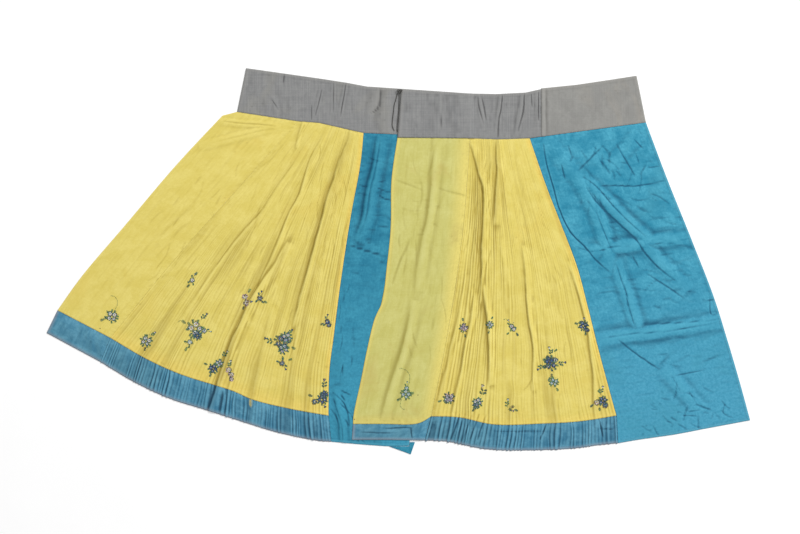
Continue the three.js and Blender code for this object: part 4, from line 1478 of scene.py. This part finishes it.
# %% Knot and strands
TIE_RADIUS, KNOT_RADIUS = 1.0, 1.05
TIE_MIDDLE = BAND_WALL + LAYER_GAP + TIE_RADIUS
KNOT, KNOT_SIZE = (3.5, 450.0, 7.4), (2.3, 2.0, 0.84)
STRANDS = {
    "left": [(-2.6, 446.6), (-5.5, 432), (-10.6, 414), (-13, 395), (-15.4, 372), (-15.6, 358), (-10.6, 345)],
    "right": [(2.4, 446.2), (2.4, 430), (1.6, 410), (0.2, 392), (-1.6, 372), (-3.2, 354), (-2.8, 342)],
}

t = np.linspace(0, 2 * math.pi, 73)[:-1]
trefoil = np.column_stack([
    np.sin(t) + 2 * np.sin(2 * t), np.cos(t) - 2 * np.cos(2 * t), -1.25 * np.sin(3 * t),
])
knot_piece = tube("thread_tie_knot", trefoil * KNOT_SIZE + KNOT, KNOT_RADIUS, 10, closed=True, turns=16,
                  flute=0.16)
finish_piece(knot_piece, "tie_knot", "tie_thread")

for side, route in STRANDS.items():
    way = smooth_chain(route, 80)
    path = np.column_stack([way, np.full(len(way), TIE_MIDDLE)])
    strand = tube(f"thread_tie_strand_{side}", path, TIE_RADIUS, 14, turns=22, flute=0.22, taper=0.3)
    length = float(np.linalg.norm(np.diff(path, axis=0), axis=1).sum()) * MM
    finish_piece(strand, f"tie_strand_{side}", "tie_thread")
    print("strand", side, round(length / MM, 1), "mm")

# %% [markdown]
# ## Embroidery
#
# Small sprays of flowers are worked in silk floss near the hem. A satin stitch is one short straight
# thread, so a petal is a fan of stitches, pale at the heart and dark at the rim, a leaf is a row of pairs
# that slant from a rib, and a stem is a line of short stitches end to end. The motifs are ordinary ones,
# made by rule, and a table says where each goes, how large it is and how it is turned.

# %% Threads of the sprays
FLOSS = {
    "navy": (22, 36, 100), "ink": (10, 22, 38), "blue": (38, 94, 168), "sky": (140, 180, 204),
    "white": (230, 232, 226), "lilac": (196, 160, 186), "sage": (104, 142, 84), "green": (26, 76, 50),
    "teal": (16, 96, 104), "brown": (74, 56, 48), "madder": (130, 56, 90),
}
# The colours of a spray. Where a row names several, each stitch takes one of them.
PALETTES = {
    "pale": dict(heart=("white", "sky", "lilac", "white"), rim=("green", "navy", "teal", "sage"),
                 eye=("brown", "ink"), leaf=("sage", "green", "teal", "sage"), stem=("green",)),
    "deep": dict(heart=("blue", "navy", "teal", "blue"), rim=("ink", "navy", "green", "ink"),
                 eye=("white", "ink"), leaf=("green", "sage", "teal"), stem=("green", "ink")),
    "lilac": dict(heart=("white", "lilac", "brown", "white"), rim=("lilac", "navy", "brown", "green"),
                  eye=("navy", "brown"), leaf=("sage", "green", "brown"), stem=("green",)),
    "light": dict(heart=("white", "sky"), rim=("sage", "teal", "green"), eye=("brown", "navy"),
                  leaf=("sage", "sage", "green"), stem=("green", "sage")),
    "madder dot": dict(dot="madder"),
    "brown dot": dict(dot="brown"),
}
Stitch = namedtuple("Stitch", "start end width colour")
print("threads:", ", ".join(FLOSS))

# %% Parts of a motif
def ray(middle, angle, reach):
    return (middle[0] + reach * math.cos(angle), middle[1] + reach * math.sin(angle))


def stitch(start, end, width, colours, rng):
    """A stitch in one of some colours."""
    return Stitch(start, end, width, colours[int(rng.integers(len(colours)))])


def knots(middle, reach, count, colours, rng):
    """Small knots strewn round a place."""
    stitches = []
    for _ in range(count):
        at = ray(middle, rng.uniform(0, math.tau), reach * math.sqrt(rng.uniform(0.1, 1)))
        stitches.append(stitch(at, ray(at, rng.uniform(0, math.tau), 1.5), 1.5, colours, rng))
    return stitches


def flower(middle, size, turn, palette, rng):
    """Five round petals. Each is a fan of four rows, pale at the heart and dark at the rim, and uneven."""
    stitches = []
    for petal in range(5):
        angle = turn + petal * math.tau / 5 + rng.uniform(-0.15, 0.15)
        for step in (-1.5, -0.5, 0.5, 1.5):
            fan = angle + step * 0.29
            reach = size * (1.04 - 0.08 * abs(step)) * rng.uniform(0.86, 1.1)
            half = size * rng.uniform(0.42, 0.66)
            start, edge = ray(middle, fan, size * 0.2), ray(middle, fan, half * 0.96)
            stitches += [stitch(start, ray(middle, fan, half), 1.6, palette["heart"], rng),
                         stitch(edge, ray(middle, fan, reach), 1.8, palette["rim"], rng)]
    return stitches + knots(middle, size * 0.22, 3, palette["eye"], rng)


def leaf(base, size, turn, palette, rng):
    """A rib with four pairs of stitches that slant from it."""
    stitches = [stitch(base, ray(base, turn, size * 0.9), 1.1, palette["stem"], rng)]
    for step, share in enumerate((0.36, 0.44, 0.38, 0.26)):
        at = ray(base, turn, size * (0.1 + 0.22 * step))
        for side in (-1, 1):
            end = ray(at, turn + side * rng.uniform(0.55, 0.8), size * share)
            stitches.append(stitch(at, end, 1.7, palette["leaf"], rng))
    return stitches


def stem(base, size, turn, palette, rng):
    """Short stitches end to end, bent a little. Also gives the place where it ends."""
    stitches, at, bend = [], base, rng.uniform(-0.12, 0.12)
    for step in range(max(2, round(size / 3))):
        following = ray(at, turn + bend * step, 3.2)
        stitches.append(stitch(at, following, 1.1, palette["stem"], rng))
        at = following
    return stitches, at


def bud(middle, size, turn, palette, rng):
    """A narrow fan of five rows between two small leaves."""
    stitches = []
    for step in (-2, -1, 0, 1, 2):
        fan = turn + step * 0.3
        stitches += [stitch(middle, ray(middle, fan, size * 0.6), 1.4, palette["heart"], rng),
                     stitch(ray(middle, fan, size * 0.5), ray(middle, fan, size), 1.5, palette["rim"], rng)]
    return stitches + [stitch(ray(middle, turn + side, size * 0.4), middle, 1.3, palette["leaf"], rng)
                       for side in (-2.6, 2.6)]


def dot(middle, size, turn, palette, rng):
    """Three stitches across one place."""
    return [Stitch(ray(middle, angle, size / 2), ray(middle, angle + math.pi, size / 2), 1.2, palette["dot"])
            for angle in (0, 1, 2)]


print("parts: flower, leaf, stem, bud, dot")

# %% Whole motifs
def twig(base, size, turn, palette, rng):
    """A stem with four leaves and a bud at its end."""
    stitches, tip = stem(base, size * 0.6, turn, palette, rng)
    for share, side in ((0.16, 1), (0.26, -1), (0.4, 1), (0.46, -1)):
        heading = turn + side * rng.uniform(0.7, 1.1)
        stitches += leaf(ray(base, turn, size * share), size * 0.26, heading, palette, rng)
    return stitches + bud(tip, max(5.0, size * 0.24), turn, palette, rng)


def sprig(middle, size, turn, palette, rng):
    """One flower on a short stem, with leaves and a bud beside it."""
    stitches = flower(middle, size * 0.52, turn, palette, rng)
    for side in (0.5, 2.4, 3.9):
        heading = turn + side + rng.uniform(-0.3, 0.3)
        stitches += leaf(ray(middle, turn + side, size * 0.42), size * 0.55, heading, palette, rng)
    grown, tip = stem(ray(middle, turn, size * 0.4), size * 0.6, turn, palette, rng)
    stitches += grown + bud(tip, max(3.6, size * 0.3), turn, palette, rng)
    return stitches + knots(middle, size * 0.8, 5, palette["rim"], rng)


def posy(middle, size, turn, palette, rng):
    """Four flowers close together, with leaves and knots between them."""
    stitches = []
    for number in range(9):
        angle = turn + 0.4 + number * math.tau / 9 + rng.uniform(-0.2, 0.2)
        heading = angle + rng.uniform(-0.4, 0.4)
        stitches += leaf(ray(middle, angle, size * 0.5), size * 0.48, heading, palette, rng)
    for number, share in enumerate((0.42, 0.4, 0.36, 0.3)):
        at = ray(middle, turn + number * 1.62, size * 0.42)
        stitches += flower(at, size * share, rng.uniform(0, math.tau), palette, rng)
    return stitches + knots(middle, size, round(size * 0.7), palette["rim"] + palette["leaf"], rng)


def tendril(base, size, turn, palette, rng):
    """A thin stem that curls over at its end, with small leaves."""
    stitches, at = [], base
    steps = round(size / 3)
    for step in range(steps):
        heading = turn + 2.4 * (step / steps) ** 1.6
        following = ray(at, heading, 3.3)
        stitches.append(stitch(at, following, 1.0, palette["stem"], rng))
        if step % 3 == 1:
            tip = ray(at, heading + rng.choice((-1.0, 1.0)), 2.6)
            stitches.append(stitch(at, tip, 1.1, palette["leaf"], rng))
        at = following
    return stitches


print("motifs: twig, sprig, posy, tendril")

# %% Where the motifs go
# panel: rows of motif, x, y, size, turn in degrees, palette
MOTIFS = {
    "panel_a_flat": [
        ("posy", -759, -146, 20, 30, "pale"), ("tendril", -750, -128, 46, 62, "light"),
        ("leaf", -776, -152, 15, 200, "pale"),
        ("dot", -790, -178, 3.4, 0, "brown dot"),
    ],
    "panel_a_pleated": [
        ("posy", -668, -211, 19, 10, "pale"), ("twig", -656, -198, 20, 40, "pale"),
        ("leaf", -670, -226, 12, 260, "lilac"),
        ("posy", -538, -178, 27, 80, "pale"), ("sprig", -552, -214, 17, 40, "light"),
        ("twig", -522, -156, 28, 58, "deep"),
        ("leaf", -562, -166, 16, 140, "light"), ("tendril", -568, -160, 18, 150, "light"),
        ("sprig", -514, -184, 15, -10, "pale"),
        ("leaf", -558, -226, 14, 240, "light"), ("posy", -532, -196, 15, 0, "deep"),
        ("sprig", -546, -50, 15, 66, "pale"), ("leaf", -552, -60, 12, 230, "deep"),
        ("leaf", -538, -38, 11, 60, "pale"),
        ("flower", -406, -94, 9, 0, "lilac"), ("flower", -402, -110, 10, 40, "lilac"),
        ("leaf", -398, -84, 14, 60, "pale"),
        ("leaf", -408, -118, 11, 250, "lilac"),
        ("sprig", -366, -98, 17, 76, "deep"), ("bud", -386, -106, 7, 190, "deep"),
        ("leaf", -356, -104, 11, 320, "deep"),
        ("posy", -490, -284, 16, 70, "deep"), ("posy", -474, -270, 13, 70, "pale"),
        ("twig", -466, -256, 30, 58, "pale"),
        ("leaf", -504, -274, 12, 160, "deep"), ("leaf", -496, -296, 11, 250, "deep"),
        ("flower", -449, -288, 9, 0, "lilac"), ("flower", -443, -300, 9, 30, "lilac"),
        ("twig", -448, -282, 24, 84, "pale"),
        ("flower", -442, -312, 7, 0, "lilac"),
        ("posy", -308, -214, 25, 20, "deep"), ("posy", -296, -202, 18, 60, "pale"),
        ("posy", -304, -232, 17, 60, "pale"),
        ("twig", -328, -214, 34, 165, "deep"), ("twig", -290, -194, 22, 62, "deep"),
        ("sprig", -308, -270, 17, 300, "deep"),
        ("leaf", -306, -250, 13, 270, "pale"), ("leaf", -292, -262, 12, 20, "light"),
        ("leaf", -284, -226, 14, -30, "light"),
        ("sprig", -188, -160, 16, 86, "deep"), ("leaf", -196, -164, 12, 200, "deep"),
        ("flower", -184, -168, 8, 0, "deep"),
        ("posy", -202, -366, 17, 0, "deep"), ("posy", -196, -352, 12, 0, "deep"),
        ("flower", -222, -372, 9, 0, "deep"),
        ("twig", -198, -340, 34, 80, "deep"), ("leaf", -226, -358, 14, 160, "deep"),
        ("bud", -196, -382, 7, 300, "deep"),
    ],
    "panel_b_flat": [
        ("posy", 20, -352, 17, 0, "light"), ("tendril", 24, -334, 62, 66, "light"),
        ("leaf", 8, -362, 14, 210, "pale"),
        ("tendril", 10, -364, 34, 240, "light"), ("sprig", 22, -336, 13, 80, "light"),
        ("leaf", 30, -352, 13, 20, "light"),
        ("dot", -116, -418, 3.4, 0, "madder dot"), ("dot", 52, -354, 3, 0, "brown dot"),
    ],
    "panel_b_pleated": [
        ("posy", 134, -362, 18, 30, "lilac"), ("posy", 130, -366, 12, 0, "pale"),
        ("leaf", 116, -368, 12, 200, "pale"),
        ("posy", 210, -374, 16, 70, "pale"), ("posy", 206, -382, 11, 70, "deep"),
        ("twig", 218, -358, 38, 64, "lilac"),
        ("leaf", 222, -352, 13, 20, "deep"), ("leaf", 202, -388, 12, 240, "deep"),
        ("twig", 290, -388, 28, 100, "light"), ("leaf", 294, -390, 16, 30, "lilac"),
        ("leaf", 306, -392, 12, -20, "pale"),
        ("twig", 290, -392, 18, -10, "lilac"),
        ("posy", 173, -176, 14, 0, "lilac"), ("leaf", 172, -160, 11, 100, "deep"),
        ("leaf", 176, -192, 10, 280, "lilac"),
        ("posy", 242, -168, 12, 0, "pale"), ("leaf", 240, -182, 10, 260, "deep"),
        ("leaf", 246, -154, 9, 60, "pale"),
        ("sprig", 300, -172, 15, 118, "pale"), ("flower", 306, -180, 7, 10, "pale"),
        ("leaf", 312, -188, 12, 300, "deep"),
        ("leaf", 294, -188, 9, 220, "light"), ("tendril", 292, -158, 14, 130, "light"),
        ("posy", 490, -170, 16, 20, "deep"), ("leaf", 478, -166, 12, 170, "deep"),
        ("flower", 500, -182, 7, 0, "deep"),
        ("leaf", 496, -186, 11, 270, "deep"), ("bud", 492, -154, 6, 90, "pale"),
        ("posy", 403, -270, 24, 50, "deep"), ("posy", 400, -264, 15, 10, "deep"),
        ("flower", 416, -262, 8, 0, "pale"),
        ("twig", 404, -250, 28, 88, "pale"), ("leaf", 412, -240, 12, 40, "light"),
        ("twig", 420, -270, 28, -4, "deep"),
        ("twig", 388, -274, 28, 205, "deep"), ("posy", 412, -320, 15, 20, "light"),
        ("leaf", 406, -296, 15, 275, "deep"),
        ("leaf", 418, -334, 12, 300, "light"), ("leaf", 402, -306, 12, 250, "pale"),
        ("flower", 526, -374, 10, 0, "lilac"), ("posy", 542, -370, 15, 30, "deep"),
        ("flower", 548, -382, 9, 0, "deep"),
        ("twig", 536, -354, 28, 86, "pale"), ("leaf", 518, -378, 13, 220, "deep"),
        ("leaf", 532, -386, 11, 280, "deep"),
        ("leaf", 536, -350, 12, 130, "light"),
    ],
}
MAKERS = {make.__name__: make for make in (flower, leaf, bud, twig, sprig, posy, tendril, dot)}


def stitches_of(rows, seed):
    """All stitches of a panel's rows, each row with a seed of its own."""
    stitches = []
    for number, (kind, x, y, size, turn, palette) in enumerate(rows):
        rng = np.random.default_rng(seed + number)
        stitches += MAKERS[kind]((x, y), size, math.radians(turn), PALETTES[palette], rng)
    return stitches


worked = {node: stitches_of(rows, 4000 + 100 * number) for number, (node, rows) in enumerate(MOTIFS.items())}
print("stitches:", {node: len(stitches) for node, stitches in worked.items()})

# %% [markdown]
# The stitches lie on the cloth with its pleats. A ray straight down from above finds the cloth's height at
# both ends of a stitch. Points then carry each stitch's direction, size and colour, and one Geometry Nodes
# tree puts a long grain of thread on every point. The tree turns the grain twice: first round the upright
# axis, then up or down to follow the slope.

# %% Stitches on the cloth
STITCH_LIFT = 0.16
SHORTEST = 0.0004
RAY_START = 0.1


def cloth_surface(node):
    mesh = pieces_of_cloth[node].data
    faces = [tuple(face.vertices) for face in mesh.polygons]
    return BVHTree.FromPolygons([vertex.co for vertex in mesh.vertices], faces)


def on_surface(surface, x, y):
    """The place on the cloth under a point, or none beside it."""
    return surface.ray_cast(Vector((x * MM, y * MM, RAY_START)), Vector((0, 0, -1)))[0]


def stitch_points(name, laid):
    """Loose points with a direction, a size and a colour each."""
    points = mesh_object(name, [tuple((start + end) / 2) for start, end, _, _ in laid], [])
    sizes = [((end - start).length + width * 0.4 * MM, width * MM, width * 0.55 * MM)
             for start, end, width, _ in laid]
    values = {
        "along": ("FLOAT_VECTOR", "vector", [(end - start).normalized()[:] for start, end, _, _ in laid]),
        "size": ("FLOAT_VECTOR", "vector", sizes),
        "tint": ("FLOAT_COLOR", "color", [colour for _, _, _, colour in laid]),
    }
    for attribute, (kind, field, rows) in values.items():
        made = points.data.attributes.new(attribute, kind, "POINT")
        made.data.foreach_set(field, np.array(rows, np.float32).ravel())
    return points


print("panels with sprays:", ", ".join(worked))

# %% Tools for the trees
def geometry_tree(name, inputs):
    """A Geometry Nodes tree with a geometry going in and out, and named inputs."""
    tree = bpy.data.node_groups.new(name, "GeometryNodeTree")
    tree.interface.new_socket("Geometry", in_out="INPUT", socket_type="NodeSocketGeometry")
    for label, kind in inputs.items():
        tree.interface.new_socket(label, in_out="INPUT", socket_type=kind)
    tree.interface.new_socket("Geometry", in_out="OUTPUT", socket_type="NodeSocketGeometry")
    return tree, tree.nodes.new("NodeGroupInput"), tree.nodes.new("NodeGroupOutput")


def lay_grains(tree, points, along, size, material, out):
    """Ends a tree: a grain of thread on every point, turned twice, made real and given its material."""
    turn = "FunctionNodeAlignRotationToVector"
    grain = add_node(tree, "GeometryNodeMeshUVSphere", Segments=6, Rings=3, Radius=0.5).outputs["Mesh"]
    swing = add_node(tree, turn, {"axis": "X", "pivot_axis": "Z"}, Vector=along).outputs[0]
    slope = add_node(tree, turn, {"axis": "X", "pivot_axis": "Y"}, Rotation=swing, Vector=along).outputs[0]
    laid_down = add_node(tree, "GeometryNodeInstanceOnPoints", Points=points, Instance=grain, Rotation=slope,
                         Scale=size)
    real = add_node(tree, "GeometryNodeRealizeInstances", Geometry=laid_down.outputs[0])
    smooth = add_node(tree, "GeometryNodeSetShadeSmooth", Geometry=real.outputs[0])
    finished = add_node(tree, "GeometryNodeSetMaterial", Geometry=smooth.outputs[0], Material=material)
    tree.links.new(finished.outputs[0], out.inputs[0])


def plain_mesh(source, tree, values, name):
    """Runs a tree on an object and keeps the result as a plain mesh of its own."""
    modifier = source.modifiers.new("nodes", "NODES")
    modifier.node_group = tree
    for item in tree.interface.items_tree:
        if item.in_out == "INPUT" and item.name in values:
            modifier[item.identifier] = values[item.name]
    evaluated = source.evaluated_get(bpy.context.evaluated_depsgraph_get())
    mesh = bpy.data.meshes.new_from_object(evaluated)
    mesh.name = name
    source.modifiers.clear()
    bpy.data.objects.remove(source)
    made = bpy.data.objects.new(name, mesh)
    scene.collection.objects.link(made)
    return made


print("both trees end in the same way: lay_grains")

# %% Tree of satin stitches
satin_tree, inside, out = geometry_tree("satin stitches", {"Floss": "NodeSocketMaterial"})
vector = {"data_type": "FLOAT_VECTOR"}
along = add_node(satin_tree, "GeometryNodeInputNamedAttribute", vector, Name="along").outputs[0]
size = add_node(satin_tree, "GeometryNodeInputNamedAttribute", vector, Name="size").outputs[0]
lay_grains(satin_tree, inside.outputs["Geometry"], along, size, inside.outputs["Floss"], out)
print("tree:", satin_tree.name)

# %% [markdown]
# Floss is many fine filaments side by side, hardly twisted, so it shines. Its colour comes from the
# attribute that each stitch carries, with a little unevenness, as old thread has.

# %% Floss
floss, tree, shader = new_material("floss")
tint = add_node(tree, "ShaderNodeAttribute", {"attribute_name": "tint"}).outputs["Color"]
place = add_node(tree, "ShaderNodeTexCoord").outputs["Object"]
filaments = add_node(tree, "ShaderNodeTexNoise", Vector=place, Scale=900.0, Detail=2.0).outputs[0]
faded = mix_colour(tree, math_node(tree, "MULTIPLY", filaments, 0.16), tint, srgb(150, 146, 130))
bump = add_node(tree, "ShaderNodeBump", Height=filaments, Strength=0.4, Distance=0.0002).outputs[0]
rough = math_node(tree, "MULTIPLY_ADD", filaments, 0.3, 0.45)
for label, socket in {"Base Color": faded, "Normal": bump, "Roughness": rough}.items():
    tree.links.new(socket, shader[label])
print("material:", floss.name)

# %% Working the sprays
sewn_on = {}
for node, stitches in worked.items():
    surface, laid = cloth_surface(node), []
    for start, end, width, colour in stitches:
        start, end = on_surface(surface, *start), on_surface(surface, *end)
        if start and end and (end - start).length >= SHORTEST:
            raised = Vector((0, 0, width * STITCH_LIFT * MM))
            laid.append((start + raised, end + raised, width, srgb(*FLOSS[colour])))
    embroidery = plain_mesh(stitch_points("points", laid), satin_tree, {"Floss": floss}, "embroidery_" + node)
    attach(embroidery, "root")
    sewn_on[node] = [embroidery]
    print(embroidery.name, len(laid), "stitches", len(embroidery.data.polygons), "faces")

# %% [markdown]
# ## Sewing
#
# Running stitches hold the seams and the turned edges. A path lies on the cloth beside each edge. One tree
# walks along it: it makes the path a curve, sets points on it at equal steps, and lays a short grain of
# thread along the curve at each point. A seeded random value makes no two stitches alike.

# %% Tree of running stitches
running_tree, inside, out = geometry_tree("running stitches", {
    "Spacing": "NodeSocketFloat", "Stitch size": "NodeSocketVector", "Thread colour": "NodeSocketColor",
    "Thread": "NodeSocketMaterial", "Seed": "NodeSocketInt",
})
route = add_node(running_tree, "GeometryNodeMeshToCurve", Mesh=inside.outputs["Geometry"])
steps = add_node(running_tree, "GeometryNodeResampleCurve", {"mode": "LENGTH"}, Curve=route.outputs[0],
                 Length=inside.outputs["Spacing"])
dyed = add_node(running_tree, "GeometryNodeStoreNamedAttribute",
                {"data_type": "FLOAT_COLOR", "domain": "POINT"}, Geometry=steps.outputs[0], Name="tint",
                Value=inside.outputs["Thread colour"])
uneven_size = add_node(running_tree, "FunctionNodeRandomValue", vector, Min=(0.8, 0.85, 0.85),
                       Max=(1.15, 1.1, 1.1), Seed=inside.outputs["Seed"])
size = add_node(running_tree, "ShaderNodeVectorMath", {"operation": "MULTIPLY"},
                i0=inside.outputs["Stitch size"], i1=uneven_size.outputs[0])
ahead = add_node(running_tree, "GeometryNodeInputTangent").outputs[0]
lay_grains(running_tree, dyed.outputs[0], ahead, size.outputs[0], inside.outputs["Thread"], out)
print("tree:", running_tree.name)

# %% Seams
THREADS = {"yellow": (228, 212, 124), "blue": (58, 100, 130), "grey": (112, 112, 110)}
# node: the thread, then each side with its distance from it in millimetres
SEAMS = {
    "panel_a_flat": ("yellow", {"hem": 2.6, "left": 5, "waist": 3}),
    "panel_a_pleated": ("yellow", {"hem": 2.6, "right": 3, "waist": 3}),
    "panel_b_flat": ("yellow", {"hem": 2.6, "left": 5, "waist": 3}),
    "panel_b_pleated": ("yellow", {"hem": 2.6, "right": 3, "waist": 3}),
    "hem_a_flat": ("blue", {"waist": 2.4, "hem": 5}),
    "hem_a_pleated": ("blue", {"waist": 2.4, "hem": 6}),
    "hem_b_flat": ("blue", {"waist": 2.4, "hem": 5}),
    "hem_b_pleated": ("blue", {"waist": 2.4, "hem": 7}),
    "underlap_b": ("blue", {"right": 6, "hem": 6}),
    "waistband_a": ("grey", {"hem": 3, "waist": 3, "left": 4}),
    "waistband_b": ("grey", {"hem": 3, "waist": 3, "left": 4}),
    "waistband_c": ("grey", {"hem": 3, "waist": 3, "right": 4}),
}
print("pieces with running stitches:", len(SEAMS))

# %% Sewing the seams
SPACING = 4.6
STITCH_SIZE = (2.9, 0.55, 0.4)
PATH_STEP, THREAD_LIFT = 2.3, 0.12
# The waistband of apron A is covered by that of B from this x on.
COVERED_FROM = -2
FIRST_SEED = 7


def beside(plan, side, inset):
    """A line along one side of a panel, a little way in, in steps of about PATH_STEP."""
    edge = side_of(plan, side)
    run = side_of(plan, side, 3) - edge
    line = edge + run / np.linalg.norm(run, axis=1, keepdims=True) * inset
    length = np.linalg.norm(np.diff(line, axis=0), axis=1).sum()
    return at_length(line, np.linspace(inset / length, 1 - inset / length, max(3, int(length / PATH_STEP))))


for number, (node, (thread, rows)) in enumerate(SEAMS.items()):
    surface, points, edges = cloth_surface(node), [], []
    for side, inset in rows.items():
        line = beside(plans[node], side, inset)
        if node == "waistband_a" and side != "left":
            line = [place for place in line if place[0] < COVERED_FROM]
        found = [on_surface(surface, *place) for place in line]
        found = [place + Vector((0, 0, THREAD_LIFT * MM)) for place in found if place]
        edges += [(step, step + 1) for step in range(len(points), len(points) + len(found) - 1)]
        points += [tuple(place) for place in found]
    sewing = plain_mesh(mesh_object("path", points, [], edges), running_tree, {
        "Spacing": SPACING * MM, "Stitch size": [size * MM for size in STITCH_SIZE],
        "Thread colour": srgb(*THREADS[thread]), "Thread": floss, "Seed": FIRST_SEED + number,
    }, "stitches_" + node)
    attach(sewing, "root")
    sewn_on.setdefault(node, []).append(sewing)
    print(sewing.name, len(sewing.data.polygons), "faces")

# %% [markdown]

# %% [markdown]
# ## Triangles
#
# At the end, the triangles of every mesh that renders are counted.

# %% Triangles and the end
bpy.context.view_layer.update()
print("triangles:", sum(sum(len(face.vertices) - 2 for face in piece.data.polygons) for piece in scene.objects
                        if piece.type == "MESH" and not piece.hide_render))
